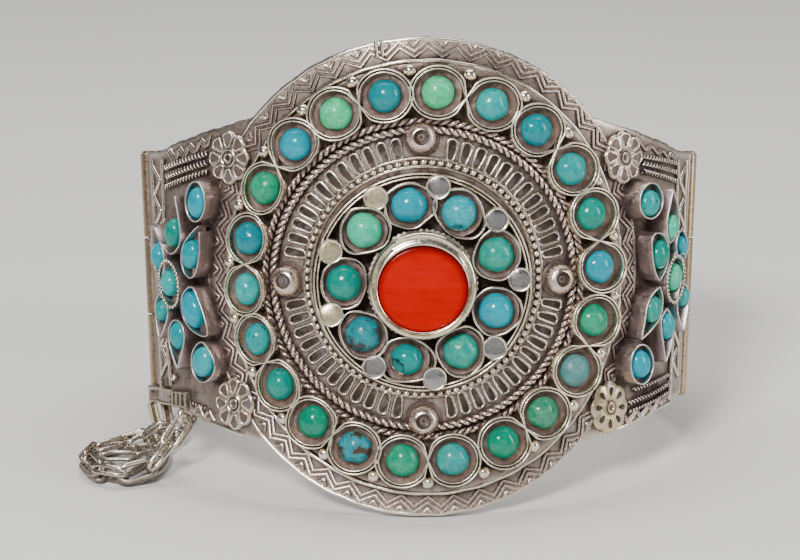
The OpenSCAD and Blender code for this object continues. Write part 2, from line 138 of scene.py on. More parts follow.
# The other cells are leaves and blades of strip: whether closed, and the spots of the picture on their way
WING_LEAVES = (
    (False, (
        (174.3, 196.5), (177.5, 215), (180, 234), (178.5, 247), (171, 255.8), (163, 249), (157, 238),
        (152.5, 225.5),
    )),
    (False, (
        (198.8, 232), (199, 250), (197, 268), (190.5, 279.8), (183.5, 274), (180, 258), (182.5, 244),
        (190, 233.5), (198, 226),
    )),
    (True, (
        (151.6, 224.5), (150.6, 245), (153, 266), (160.5, 282.5), (164.4, 264), (161, 243),
    )),
    (True, (
        (192, 284.5), (200, 305), (209, 334.5), (203, 337.5), (191, 331), (182, 318), (179.8, 302),
        (184, 290),
    )),
    (True, (
        (160, 292.5), (166.4, 304), (167, 320), (159, 339), (154.8, 320), (154, 301),
    )),
    (True, (
        (172, 319), (180, 321.5), (184.5, 335), (182, 350), (177, 369), (172.5, 358), (168.3, 345),
        (167, 330),
    )),
    (True, (
        (204, 342), (215.5, 362), (213, 375), (205, 382.8), (196, 380), (190.5, 367), (191.6, 352),
        (197.5, 343),
    )),
    (True, (
        (674, 189.5), (668.5, 215), (667.5, 230), (670, 243.5), (677, 236), (680, 222), (679, 205),
    )),
    (True, (
        (682.5, 229.5), (686.5, 234), (688.4, 245), (686.5, 256), (682.5, 261), (678, 256),
        (676.6, 246), (678.5, 234),
    )),
    (True, (
        (652.5, 233.5), (664, 233), (669, 243), (670, 258), (665.5, 272), (660, 281), (655, 272),
        (653, 255),
    )),
    (True, (
        (660.5, 286.5), (664, 297), (662, 320), (641.8, 340), (645.5, 318), (649.5, 298),
    )),
    (True, (
        (682, 280), (689.3, 289), (689.3, 304), (684, 331), (678.3, 315), (677.6, 296),
    )),
    (True, (
        (668, 308.5), (674.3, 320), (674, 338), (666.8, 362.5), (662.5, 336), (661.5, 318),
    )),
)
WING_CELL_TOP = 3.0
# The safety chain as in the part's source: its joints, the turn of each link, and a link's width and wire
LINK_JOINTS = (
    (-33.4, 13.9, 3.0), (-35.6, 13.7, 1.6), (-39.1, 13.1, 1.2), (-42.2, 11.1, 1.2), (-43.1, 7.5, 1.2),
    (-41.5, 4.2, 1.2), (-38.1, 2.7, 1.3), (-34.6, 3.8, 1.9), (-32.5, 5.8, 4.1), (-30.4, 8, 6.8),
)
LINK_ROLLS = (75, -30, 45, -45, 45, -45, 60, -45, 15)
LINK_W, LINK_WIRE, LINK_PLAY = 3.0, 0.62, 0.36


# Places on the cuff


def band(points):
    """Flat points (round the cuff, up, out of the face) bent onto the cuff's own band"""
    u, v, h = np.asarray(points, float).T
    side, in_front = np.sign(u), np.abs(u) <= FRONT_S
    angle = np.where(in_front, u / FRONT_R, side * (FRONT_A + (np.abs(u) - FRONT_S) / SIDE_R))
    radius = np.where(in_front, FRONT_R, SIDE_R) + FLARE * v + math.cos(LEAN) * h
    x = np.where(in_front, 0, side * SIDE_X) + radius * np.sin(angle)
    y = np.where(in_front, FRONT_R, SIDE_Y) - radius * np.cos(angle)
    return np.column_stack((x, y, v - math.sin(LEAN) * h))


def square(points):
    """Flat points set square on the middle of the disc, without bending"""
    x, v, h = np.asarray(points, float).T
    s, c = math.sin(LEAN), math.cos(LEAN)
    return np.column_stack((x, -s * v - c * h, c * v - s * h))


def as_made(points):
    """Points that are already in the cuff's own frame"""
    return np.asarray(points, float)


def unbent(points):
    """The flat place of points given in the cuff's own frame"""
    x, y, z = points.T
    middle = np.arctan2(x, FRONT_R - y)
    side = np.sign(x)
    beside = np.arctan2(np.abs(x) - SIDE_X, SIDE_Y - y)
    in_front = np.abs(middle) <= FRONT_A
    u = np.where(in_front, middle * FRONT_R, side * (FRONT_S + (beside - FRONT_A) * SIDE_R))
    radius = np.where(in_front, np.hypot(x, FRONT_R - y), np.hypot(np.abs(x) - SIDE_X, SIDE_Y - y))
    h = (radius - np.where(in_front, FRONT_R, SIDE_R) - FLARE * z) * math.cos(LEAN)
    return u, z + math.sin(LEAN) * h, h


def rays(spots):
    """Directions from the camera through spots of the picture, in the cuff's own frame"""
    x, y = np.asarray(spots, float).T
    right = (x - CENTRE_PX[0]) * PIXEL / DISTANCE
    rise = (CENTRE_PX[1] - y) * PIXEL / DISTANCE
    return np.array(look) + np.outer(right, across) + np.outer(rise, upward)


def seen(spots, height):
    """Flat places (u, v) of spots of the picture that lie at a height over the face"""
    way = rays(spots)
    near, far = np.full(len(way), NEAREST), np.full(len(way), FARTHEST)
    for _ in range(30):
        middle = (near + far) / 2
        _, _, h = unbent(way * middle[:, None] + VIEWPOINT)
        near, far = np.where(h > height, middle, near), np.where(h > height, far, middle)
    u, v, _ = unbent(way * middle[:, None] + VIEWPOINT)
    return np.column_stack((u, v))


def at_depth(spot, y):
    """The point behind a spot of the picture at a depth in the cuff's own frame"""
    way = rays([spot])[0]
    return VIEWPOINT + way * (y - VIEWPOINT[1]) / way[1]


def leaned(points):
    """The cuff's own frame leaned back onto the table, which is the chain's own frame"""
    x, y, z = np.asarray(points, float).T
    c, s = math.cos(TILT), math.sin(TILT)
    return np.column_stack((x, y * c + z * s, z * c - y * s + LIFT))


def standing(points):
    """The cuff's own frame leaned back and centred on the table, in metres"""
    return (leaned(points) - (*FOOTPRINT, 0)) / 1000


def lying(points):
    """The chain's own frame on the table, turned back into the cuff's own frame"""
    x, y, z = np.asarray(points, float).T
    c, s = math.cos(TILT), math.sin(TILT)
    z = z - LIFT
    return np.column_stack((x, y * c - z * s, y * s + z * c))


def seated(u, v, h=0.0, turn=0.0):
    """A rigid place on the band, its height square to the face"""
    spot = band([(u, v, 0.0), (u, v, 1.0), (u + 0.01, v, 0.0)])
    out = spot[1] - spot[0]
    across = spot[2] - spot[0]
    across /= np.linalg.norm(across)
    up = np.cross(out, across)
    c, s = math.cos(turn), math.sin(turn)
    axes = np.array((across * c + up * s, up * c - across * s, out))
    return lambda points: spot[0] + (np.asarray(points, float) + (0, 0, h)) @ axes


def framed(matrix):
    """A place given by a matrix in the cuff's own frame"""
    turn, move = np.array(matrix.to_3x3()), np.array(matrix.translation)
    return lambda points: np.asarray(points, float) @ turn.T + move


def barrel_frame(side):
    """A hinge barrel's frame: Z runs up the barrel, X away from the front half"""
    own = Matrix.Translation((BARREL_X, BARREL_Y, 0)) @ Matrix.Rotation(HINGE_A, 4, "Z")
    return Matrix.Diagonal((side, 1, 1, 1)) @ own @ Matrix.Rotation(LEAN, 4, "X")


def lookup(u, rows):
    """The value at a distance round the cuff, between rows of (distance, value)"""
    return float(np.interp(u, [row[0] for row in rows], [row[1] for row in rows]))


def top_edge(u):
    """Upper edge of the front half at a distance round the cuff"""
    if abs(u) < ROOT_TOP:
        return DISC_MID + DISC_H * math.sqrt(1 - (u / DISC_W) ** 2)
    return lookup(abs(u), WING_TOP)


def low_edge(u):
    """Lower edge of the front half, with the clasp's bite at the left end"""
    if abs(u) < ROOT_BOTTOM:
        return DISC_MID - DISC_H * math.sqrt(1 - (u / DISC_W) ** 2)
    return COLLAR_TOP if u < -COLLAR_U else -lookup(abs(u), WING_BOTTOM)


def uneven(points, amount, length, seed):
    """Hand-made unevenness: a smooth small wobble, the same at each run"""
    rng = np.random.default_rng(seed)
    moved = np.zeros((len(points), 3))
    for _ in range(4):
        waves = rng.normal(size=(3, 3)) * 2 * math.pi / length / 1.7
        moved += np.sin(points @ waves + rng.uniform(0, 2 * math.pi, 3))
    return points + moved * amount / 2


# Shapes


def skin(rows, loop=False, ring=True):
    """Faces between rows of points: loop closes the last row onto the first, ring closes every row"""
    rows = np.asarray(rows, float)
    m, k = rows.shape[:2]
    faces = [
        (i * k + j, i * k + (j + 1) % k, (i + 1) % m * k + (j + 1) % k, (i + 1) % m * k + j)
        for i in range(m if loop else m - 1)
        for j in range(k if ring else k - 1)
    ]
    if ring and not loop:
        faces += [tuple(range(k)), tuple(range((m - 1) * k, m * k))]
    return rows.reshape(-1, 3), faces


def lathe(profile, count=48, ripple=None):
    """A profile of (radius, height) rows turned round its axis. ripple(row, angle) changes the radius"""
    angles = np.arange(count) * 2 * math.pi / count
    rows = []
    for angle in angles:
        row = []
        for i, (radius, height) in enumerate(profile):
            wide = radius + (ripple(i, angle) if ripple else 0)
            row.append((wide * math.cos(angle), wide * math.sin(angle), height))
        rows.append(row)
    return skin(rows, loop=True, ring=False)


def slab(x0, x1, y0, y1, z0, z1, soft=0.1):
    """A block whose edges are softened"""
    rows = []
    for z, inset in ((z0, soft), (z0 + soft, 0), (z1 - soft, 0), (z1, soft)):
        a, b, c, d = x0 + inset, x1 - inset, y0 + inset, y1 - inset
        k = soft * 0.8
        rows.append([
            (a + k, c, z), (b - k, c, z), (b, c + k, z), (b, d - k, z),
            (b - k, d, z), (a + k, d, z), (a, d - k, z), (a, c + k, z),
        ])
    return skin(rows)


def ring_path(w, h, mid=(0.0, 0.0), steps=240, height=0.0):
    """Points of a closed ring in the flat, clockwise from the top"""
    a = np.arange(steps) * 2 * math.pi / steps
    return np.column_stack((mid[0] + w * np.sin(a), mid[1] + h * np.cos(a), np.full(steps, height)))


def straight(*corners, step=0.5):
    """An open path through corners, with points at even steps"""
    path = [corners[0]]
    for a, b in zip(corners, corners[1:]):
        n = max(1, round(math.dist(a, b) / step))
        path += [tuple(np.array(a) + (np.array(b) - np.array(a)) * i / n) for i in range(1, n + 1)]
    return np.array(path, float)


def even_points(path, count):
    """An exact number of points at even distances along a closed path"""
    closed = np.vstack((path, path[:1]))
    run = np.concatenate(([0], np.cumsum(np.linalg.norm(np.diff(closed, axis=0), axis=1))))
    at = np.arange(count) / count * run[-1]
    return np.column_stack([np.interp(at, run, column) for column in closed.T])


def turned(x, y, turn, spot):
    """Flat places turned and then moved to a spot"""
    c, s = math.cos(turn), math.sin(turn)
    return np.column_stack((spot[0] + x * c - y * s, spot[1] + x * s + y * c))


def oval(spot, half_w, half_h, lean=0.0, point=0.0, steps=44):
    """An oval outline in the picture, its ends drawn to points"""
    a = np.arange(steps) * 2 * math.pi / steps
    x = half_w * np.sign(np.cos(a)) * np.abs(np.cos(a)) ** (1 + point)
    return turned(x, half_h * np.sin(a), math.radians(lean), spot)


def softened(points, closed, tips=True):
    """Corners of a path rounded off, its sharp tips kept or not"""
    points = [np.array(p, float) for p in points]
    for _ in range(3):
        new, n = [], len(points)
        for i, here in enumerate(points):
            if not closed and i in (0, n - 1):
                new.append(here)
                continue
            back, on = points[i - 1] - here, points[(i + 1) % n] - here
            bend = np.dot(back, on) / (np.linalg.norm(back) * np.linalg.norm(on) + 1e-9)
            new += [here] if tips and bend > 0.35 else [here + back * 0.25, here + on * 0.25]
        points = new
    return np.array(points)


# Node trees


def node(tree, kind, feeds=None, **settings):
    """Adds a node. feeds gives its inputs by name or number, each a socket or a value"""
    made = tree.nodes.new(kind)
    for key, value in settings.items():
        setattr(made, key, value)
    for key, value in (feeds or {}).items():
        if isinstance(value, bpy.types.NodeSocket):
            tree.links.new(value, made.inputs[key])
        else:
            made.inputs[key].default_value = value
    return made


def calc(tree, operation, *values, clamp=False):
    """A Math node's result"""
    made = node(tree, "ShaderNodeMath", dict(enumerate(values)), operation=operation, use_clamp=clamp)
    return made.outputs[0]


def vector(tree, operation, *values, out=0, **feeds):
    """A Vector Math node's result"""
    given = dict(enumerate(values)) | feeds
    return node(tree, "ShaderNodeVectorMath", given, operation=operation).outputs[out]


def new_tree(name, kind, takes, gives):
    """A node group with named inputs (label, socket kind, value) and outputs (label, socket kind)"""
    tree = bpy.data.node_groups.new(name, kind)
    for label, socket, value in takes:
        made = tree.interface.new_socket(label, in_out="INPUT", socket_type="NodeSocket" + socket)
        if value is not None:
            made.default_value = value
    for label, socket in gives:
        tree.interface.new_socket(label, in_out="OUTPUT", socket_type="NodeSocket" + socket)
    return tree, tree.nodes.new("NodeGroupInput").outputs, tree.nodes.new("NodeGroupOutput")


def ornament_tree(name, *sizes):
    """The start of every ornament tree: a path or points go in, with its sizes and its metal"""
    takes = [("Geometry", "Geometry", None), *sizes, ("Metal", "Material", None)]
    return new_tree(name, "GeometryNodeTree", takes, [("Geometry", "Geometry")])


def close_tree(tree, geometry, given, out):
    """The end of every ornament tree: shading, real geometry and its metal"""
    shaded = node(tree, "GeometryNodeSetShadeSmooth", {"Geometry": geometry, "Shade Smooth": True})
    real = node(tree, "GeometryNodeRealizeInstances", {"Geometry": shaded.outputs[0]})
    done = node(tree, "GeometryNodeSetMaterial", {"Geometry": real.outputs[0], "Material": given["Metal"]})
    tree.links.new(done.outputs[0], out.inputs[0])
    return tree


def named(tree, label, kind="FLOAT"):
    """A mark that the points carry"""
    return node(tree, "GeometryNodeInputNamedAttribute", {"Name": label}, data_type=kind).outputs[0]


def laid_curve(tree, given):
    """The paths as curves whose sideways direction lies in the sheet"""
    curve = node(tree, "GeometryNodeMeshToCurve", {0: given["Geometry"]}).outputs[0]
    return node(tree, "GeometryNodeSetCurveNormal", {"Curve": curve}, mode="Z_UP").outputs[0]


def even_curve(tree, given):
    """The paths as curves with a point at every step"""
    feeds = {"Curve": laid_curve(tree, given), "Length": given["Step"]}
    return node(tree, "GeometryNodeResampleCurve", feeds, mode="LENGTH").outputs[0]


def circle(tree, sides, radius):
    """A round profile"""
    feeds = {"Resolution": sides, "Radius": radius}
    return node(tree, "GeometryNodeCurvePrimitiveCircle", feeds).outputs[0]


def swept(tree, curve, profile):
    """A profile swept along a curve, its ends closed"""
    feeds = {"Curve": curve, "Profile Curve": profile, "Fill Caps": True}
    return node(tree, "GeometryNodeCurveToMesh", feeds).outputs["Mesh"]


def shifted(tree, geometry, offset):
    """Geometry whose points are moved by an offset"""
    return node(tree, "GeometryNodeSetPosition", {"Geometry": geometry, "Offset": offset}).outputs[0]


def twisted_wire_tree():
    """Wires twisted together along paths, or one plain wire. 'girth' scales it, 'twist' is its way round"""
    tree, given, out = ornament_tree(
        "twisted wire", ("Wire", "Float", 0.25), ("Spread", "Float", 0.22), ("Lay", "Float", 1.9),
        ("Step", "Float", 0.24), ("Strands", "Int", 2), ("Sides", "Int", 6),
    )
    feeds = {"Geometry": even_curve(tree, given), "Amount": given["Strands"]}
    strands, number = node(tree, "GeometryNodeDuplicateElements", feeds, domain="SPLINE").outputs[:2]
    girth = named(tree, "girth")
    run = node(tree, "GeometryNodeSplineParameter").outputs["Length"]
    turns = calc(tree, "MULTIPLY", calc(tree, "DIVIDE", run, given["Lay"]), named(tree, "twist"))
    start = calc(tree, "DIVIDE", number, given["Strands"])
    angle = calc(tree, "MULTIPLY", calc(tree, "ADD", turns, start), 2 * math.pi)
    side = node(tree, "GeometryNodeInputNormal").outputs[0]
    up = vector(tree, "CROSS_PRODUCT", node(tree, "GeometryNodeInputTangent").outputs[0], side)
    round_it = vector(
        tree, "ADD",
        vector(tree, "SCALE", side, Scale=calc(tree, "COSINE", angle)),
        vector(tree, "SCALE", up, Scale=calc(tree, "SINE", angle)),
    )
    offset = vector(tree, "SCALE", round_it, Scale=calc(tree, "MULTIPLY", given["Spread"], girth))
    feeds = {"Curve": shifted(tree, strands, offset), "Radius": girth}
    sized = node(tree, "GeometryNodeSetCurveRadius", feeds).outputs[0]
    mesh = swept(tree, sized, circle(tree, given["Sides"], given["Wire"]))
    return close_tree(tree, mesh, given, out)


def strip_tree():
    """A flat strip stood on edge along paths, its top edge rounded"""
    tree, given, out = ornament_tree(
        "strip on edge", ("Thick", "Float", 0.34), ("Base", "Float", 0.5), ("Top", "Float", 3.0),
        ("Step", "Float", 0.35),
    )
    even = even_curve(tree, given)
    sizes = {"Width": given["Thick"], "Height": calc(tree, "SUBTRACT", given["Top"], given["Base"])}
    sharp = node(tree, "GeometryNodeCurvePrimitiveQuadrilateral", sizes, mode="RECTANGLE").outputs[0]
    feeds = {"Curve": sharp, "Count": 2, "Radius": calc(tree, "MULTIPLY", given["Thick"], 0.4)}
    soft = node(tree, "GeometryNodeFilletCurve", feeds, mode="POLY").outputs[0]
    middle = calc(tree, "MULTIPLY", calc(tree, "ADD", given["Top"], given["Base"]), 0.5)
    rise = node(tree, "ShaderNodeCombineXYZ", {"Z": middle}).outputs[0]
    return close_tree(tree, shifted(tree, swept(tree, even, soft), rise), given, out)


def zigzag_tree():
    """A sharp ridge that steps from side to side at each point of its path. 'shift' moves it sideways"""
    tree, given, out = ornament_tree("zigzag ridge", ("Depth", "Float", 1.5), ("Ridge", "Float", 0.28))
    curve = laid_curve(tree, given)
    odd = calc(tree, "MODULO", node(tree, "GeometryNodeInputIndex").outputs[0], 2.0)
    step = calc(tree, "MULTIPLY", calc(tree, "SUBTRACT", odd, 0.5), given["Depth"])
    side = node(tree, "GeometryNodeInputNormal").outputs[0]
    offset = vector(tree, "SCALE", side, Scale=calc(tree, "ADD", step, named(tree, "shift")))
    mesh = swept(tree, shifted(tree, curve, offset), circle(tree, 6, given["Ridge"]))
    return close_tree(tree, mesh, given, out)


def granule_tree():
    """A small ball of silver on every point. 'girth' is its radius"""
    tree, given, out = ornament_tree("granules", ("Flat", "Float", 0.9))
    ball = node(tree, "GeometryNodeMeshIcoSphere", {"Radius": 1.0, "Subdivisions": 2}).outputs[0]
    girth = named(tree, "girth")
    height = calc(tree, "MULTIPLY", girth, given["Flat"])
    scale = node(tree, "ShaderNodeCombineXYZ", {0: girth, 1: girth, 2: height}).outputs[0]
    feeds = {"Points": given["Geometry"], "Instance": ball, "Scale": scale}
    many = node(tree, "GeometryNodeInstanceOnPoints", feeds).outputs[0]
    return close_tree(tree, many, given, out)


def wire_loop_tree():
    """A closed loop of wire on every point, turned by 'turn' and stretched by 'stretch'"""
    tree, given, out = ornament_tree(
        "wire loops", ("Long", "Float", 3.5), ("Wide", "Float", 1.2), ("Wire", "Float", 0.15),
        ("Taper", "Float", 0.0), ("Steps", "Int", 18), ("Sides", "Int", 5),
    )
    radius = calc(tree, "SUBTRACT", calc(tree, "MULTIPLY", given["Wide"], 0.5), given["Wire"])
    ring = circle(tree, given["Steps"], radius)
    position = node(tree, "GeometryNodeInputPosition").outputs[0]
    x, y, _ = node(tree, "ShaderNodeSeparateXYZ", {0: position}).outputs
    end = calc(tree, "SIGN", y)
    leg = calc(tree, "MULTIPLY", calc(tree, "SUBTRACT", given["Long"], given["Wide"]), 0.5)
    narrow = calc(tree, "MULTIPLY", given["Taper"], calc(tree, "MULTIPLY", x, end))
    offset = node(tree, "ShaderNodeCombineXYZ", {"X": narrow, "Y": calc(tree, "MULTIPLY", end, leg)})
    oval_ring = shifted(tree, ring, offset.outputs[0])
    laid_ring = node(tree, "GeometryNodeSetCurveNormal", {"Curve": oval_ring}, mode="Z_UP").outputs[0]
    loop = swept(tree, laid_ring, circle(tree, given["Sides"], given["Wire"]))
    feeds = {
        "Points": given["Geometry"], "Instance": loop,
        "Rotation": named(tree, "turn", "FLOAT_VECTOR"), "Scale": named(tree, "stretch", "FLOAT_VECTOR"),
    }
    many = node(tree, "GeometryNodeInstanceOnPoints", feeds).outputs[0]
    return close_tree(tree, many, given, out)


# Pieces: each is made in the cuff's own frame in millimetres, and stood up at the end
pieces = []


def keep(obj, place, wobble=0.0, seed=1):
    """Bends or sets a flat piece onto the cuff and remembers it"""
    mesh = obj.data
    flat = np.empty(len(mesh.vertices) * 3, np.float32)
    mesh.vertices.foreach_get("co", flat)
    flat = flat.reshape(-1, 3).astype(float)
    if wobble:
        flat = uneven(flat, wobble, 3.0, seed)
    mesh.vertices.foreach_set("co", place(flat).astype(np.float32).ravel())
    mesh.update()
    pieces.append(obj)
    return obj


def write_marks(mesh, label, values):
    """Writes a number or a vector for each point of a mesh"""
    values = np.asarray(values, np.float32)
    kind, key = ("FLOAT", "value") if values.ndim == 1 else ("FLOAT_VECTOR", "vector")
    mesh.attributes.new(label, kind, "POINT").data.foreach_set(key, values.ravel())


def shape_piece(name, shapes, place=as_made, wobble=0.0, sharp=35.0, marks=None):
    """A piece of (points, faces, material) shapes, welded and with its faces turned outwards"""
    mesh = bpy.data.meshes.new(name)
    points, faces, metals, slots = [], [], [], []
    for shape_points, shape_faces, metal in shapes:
        start = sum(len(p) for p in points)
        points.append(np.asarray(shape_points, float))
        faces += [tuple(start + i for i in face) for face in shape_faces]
        if metal not in metals:
            metals.append(metal)
        slots += [metals.index(metal)] * len(shape_faces)
    mesh.from_pydata(np.vstack(points).tolist(), [], faces)
    mesh.polygons.foreach_set("material_index", slots)
    if marks is not None:
        write_marks(mesh, "rim", marks)
    work = bmesh.new()
    work.from_mesh(mesh)
    bmesh.ops.remove_doubles(work, verts=work.verts, dist=1e-4)
    bmesh.ops.dissolve_degenerate(work, edges=work.edges, dist=1e-5)
    bmesh.ops.recalc_face_normals(work, faces=work.faces)
    for face in work.faces:
        face.smooth = True
    for edge in work.edges:
        if len(edge.link_faces) == 2:
            edge.smooth = edge.calc_face_angle(0) < math.radians(sharp)
    work.to_mesh(mesh)
    work.free()
    for metal in metals:
        mesh.materials.append(metal)
    obj = bpy.data.objects.new(name, mesh)
    bpy.context.scene.collection.objects.link(obj)
    return keep(obj, place, wobble, len(name))


def grow(name, tree, points, sizes, metal, place=band, edges=(), wobble=0.0, **marks):
    """Runs an ornament tree over points and edges with per-point marks, and keeps its plain mesh"""
    mesh = bpy.data.meshes.new(name)
    mesh.from_pydata(np.asarray(points, float).tolist(), list(edges), [])
    for label, values in marks.items():
        write_marks(mesh, label, values)
    obj = bpy.data.objects.new(name, mesh)
    bpy.context.scene.collection.objects.link(obj)
    modifier = obj.modifiers.new("ornament", "NODES")
    modifier.node_group = tree
    for item in tree.interface.items_tree:
        if item.item_type == "SOCKET" and item.in_out == "INPUT" and item.name in sizes:
            modifier[item.identifier] = sizes[item.name]
        if item.item_type == "SOCKET" and item.name == "Metal":
            modifier[item.identifier] = metal
    graph = bpy.context.evaluated_depsgraph_get()
    plain = bpy.data.meshes.new_from_object(obj.evaluated_get(graph), depsgraph=graph)
    obj.modifiers.remove(modifier)
    obj.data = plain
    plain.name = name
    for label in [a.name for a in plain.attributes if a.name in marks]:
        plain.attributes.remove(plain.attributes[label])
    return keep(obj, place, wobble, len(name))


def lines(paths):
    """Paths (points, closed, marks) as points, edges, and each path's marks spread over its points"""
    points, edges, marks = [], [], [[] for _ in paths[0][2:]]
    for path, closed, *values in paths:
        start, count = len(points), len(path)
        points += [tuple(p) for p in path]
        edges += [(start + i, start + i + 1) for i in range(count - 1)]
        if closed:
            edges.append((start + count - 1, start))
        for k, value in enumerate(values):
            marks[k] += [value] * count
    return points, edges, marks


def plain_wires(name, paths, wire, step, sides, metal, place=band, wobble=0.0):
    """Single wires along paths (points, closed, girth)"""
    points, edges, (girth,) = lines(paths)
    sizes = {"Wire": wire, "Spread": 0.0, "Step": step, "Strands": 1, "Sides": sides}
    none = [0.0] * len(points)
    return grow(name, WIRE, points, sizes, metal, place, edges, wobble, girth=girth, twist=none)


def strips(name, paths, thick, base, top, step, metal, place=band, wobble=0.0):
    """Strips on edge along flat paths (points, closed)"""
    points, edges, _ = lines([([(*p, 0.0) for p in path], closed) for path, closed in paths])
    sizes = {"Thick": thick, "Base": base, "Top": top, "Step": step}
    return grow(name, STRIP, points, sizes, metal, place, edges, wobble)


# Shader groups


def object_mm(tree):
    """Object coordinates in millimetres"""
    spot = node(tree, "ShaderNodeTexCoord").outputs["Object"]
    return vector(tree, "SCALE", spot, Scale=1000.0)


def noise(tree, spot, scale, detail=3.0, rough=0.5, bend=0.0):
    """Cloudy noise from 0 to 1"""
    feeds = {"Vector": spot, "Scale": scale, "Detail": detail, "Roughness": rough, "Distortion": bend}
    return node(tree, "ShaderNodeTexNoise", feeds).outputs["Fac"]


def spread(tree, value, low, high, to_low=0.0, to_high=1.0):
    """Maps a range of values onto another, held at its ends"""
    feeds = {"Value": value, "From Min": low, "From Max": high, "To Min": to_low, "To Max": to_high}
    return node(tree, "ShaderNodeMapRange", feeds, clamp=True).outputs[0]


def mix(tree, factor, a, b):
    """A colour between two colours"""
    return node(tree, "ShaderNodeMix", {0: factor, 6: a, 7: b}, data_type="RGBA").outputs[2]


def mark(tree, label):
    """A mark that the surface carries"""
    return node(tree, "ShaderNodeAttribute", attribute_name=label).outputs["Fac"]


def aged_silver_group():
    """Silver darkened in its recesses, by brown tarnish and by painted shade, and lightened on its raised
    edges, by wear and by a painted highlight
    """
    tree, given, out = new_tree(
        "aged silver", "ShaderNodeTree",
        [
            ("Bright", "Color", (0.9, 0.86, 0.78, 1)), ("Dull", "Color", (0.5, 0.45, 0.41, 1)),
            ("Tarnish and shade", "Color", (0.07, 0.045, 0.035, 1)), ("Amount", "Float", 1.0),
            ("Gloss", "Float", 0.3),
        ],
        [("Color", "Color"), ("Roughness", "Float"), ("Metallic", "Float"), ("Height", "Float")],
    )
    spot = object_mm(tree)
    tarnish_and_shade, wear_and_highlight = mark(tree, "tarnish_and_shade"), mark(tree, "wear_and_highlight")
    broad = noise(tree, spot, 0.45, 4.0, 0.6)
    fine = noise(tree, spot, 2.6, 5.0, 0.65)
    grain = noise(tree, vector(tree, "MULTIPLY", spot, (1.0, 1.0, 5.0)), 4.0, 2.0)
    large_patch = spread(tree, broad, 0.35, 0.65, -0.25, 0.25)
    patch = calc(tree, "ADD", large_patch, spread(tree, fine, 0.3, 0.7, -0.2, 0.2))
    # Deep points are darkened towards the dark colour: tarnish and painted shade
    dark = calc(tree, "MULTIPLY", tarnish_and_shade, given["Amount"])
    patchy = calc(tree, "ADD", calc(tree, "MULTIPLY", dark, 0.8), 0.3)
    dark = calc(tree, "ADD", dark, calc(tree, "MULTIPLY", patch, patchy))
    pitted = spread(tree, noise(tree, spot, 1.3, 5.0, 0.7), 0.54, 0.68, 0.0, 0.4)
    dark = calc(tree, "ADD", dark, calc(tree, "MULTIPLY", pitted, given["Amount"]))
    # Raised points are lightened towards the Bright colour: wear and a painted highlight
    dark = calc(tree, "SUBTRACT", dark, calc(tree, "MULTIPLY", wear_and_highlight, 0.35), clamp=True)
    glint = spread(tree, fine, 0.35, 0.7, 0.0, 0.5)
    shine = calc(tree, "ADD", calc(tree, "MULTIPLY", wear_and_highlight, 0.7), glint, clamp=True)
    metal = mix(tree, shine, given["Dull"], given["Bright"])
    bloom = spread(tree, noise(tree, spot, 0.8, 2.0), 0.5, 0.62, 0.0, 0.3)
    cool = mix(tree, bloom, metal, (0.44, 0.41, 0.43, 1))
    tree.links.new(mix(tree, dark, cool, given["Tarnish and shade"]), out.inputs["Color"])
    rough = calc(tree, "ADD", given["Gloss"], calc(tree, "MULTIPLY", dark, 0.4))
    rough = calc(tree, "SUBTRACT", rough, calc(tree, "MULTIPLY", wear_and_highlight, 0.06))
    rough = calc(tree, "ADD", rough, spread(tree, fine, 0.3, 0.7, -0.06, 0.12), clamp=True)
    tree.links.new(rough, out.inputs["Roughness"])
    tree.links.new(spread(tree, dark, 0.2, 1.0, 1.0, 0.35), out.inputs["Metallic"])
    height = calc(tree, "ADD", calc(tree, "MULTIPLY", fine, 0.6), calc(tree, "MULTIPLY", grain, 0.25))
    tree.links.new(height, out.inputs["Height"])
    return tree


def turquoise_group():
    """Clouded turquoise with veins of brown matrix and dark specks"""
    tree, given, out = new_tree(
        "turquoise", "ShaderNodeTree",
        [
            ("Main", "Color", (0.1, 0.5, 0.5, 1)), ("Second", "Color", (0.2, 0.6, 0.5, 1)),
            ("Matrix", "Color", (0.09, 0.06, 0.035, 1)), ("Cloud", "Float", 0.5), ("Veins", "Float", 0.0),
            ("Specks", "Float", 0.0), ("Patches", "Float", 0.0), ("Gloss", "Float", 0.14),
        ],
        [("Color", "Color"), ("Roughness", "Float"), ("Height", "Float")],
    )
    spot = object_mm(tree)
    cloud = spread(tree, noise(tree, spot, given["Cloud"], 4.0, 0.55, 0.6), 0.38, 0.62)
    colour = mix(tree, cloud, given["Main"], given["Second"])
    soft = spread(tree, noise(tree, spot, 1.8, 5.0, 0.6), 0.3, 0.7, 0.82, 1.12)
    colour = vector(tree, "SCALE", colour, Scale=soft)
    ridge = calc(tree, "ABSOLUTE", calc(tree, "SUBTRACT", noise(tree, spot, 0.75, 3.0, 0.6, 1.5), 0.5))
    vein = calc(tree, "MULTIPLY", spread(tree, ridge, 0.0, 0.035, 1.0, 0.0), given["Veins"])
    dot = node(tree, "ShaderNodeTexVoronoi", {"Vector": spot, "Scale": 1.6}).outputs["Distance"]
    speck = calc(tree, "MULTIPLY", spread(tree, dot, 0.16, 0.26, 1.0, 0.0), given["Specks"])
    some = spread(tree, noise(tree, spot, 0.7, 2.0), 0.47, 0.55)
    speck = calc(tree, "MULTIPLY", speck, some)
    broken = calc(tree, "SUBTRACT", given["Patches"], noise(tree, spot, 0.62, 4.0, 0.6))
    blotch = spread(tree, broken, -0.02, 0.05)
    mask = calc(tree, "MAXIMUM", calc(tree, "MAXIMUM", vein, speck), blotch, clamp=True)
    tree.links.new(mix(tree, mask, colour, given["Matrix"]), out.inputs["Color"])
    rough = calc(tree, "ADD", given["Gloss"], calc(tree, "MULTIPLY", mask, 0.3), clamp=True)
    tree.links.new(rough, out.inputs["Roughness"])
    tree.links.new(calc(tree, "MULTIPLY", mask, -1.0), out.inputs["Height"])
    return tree


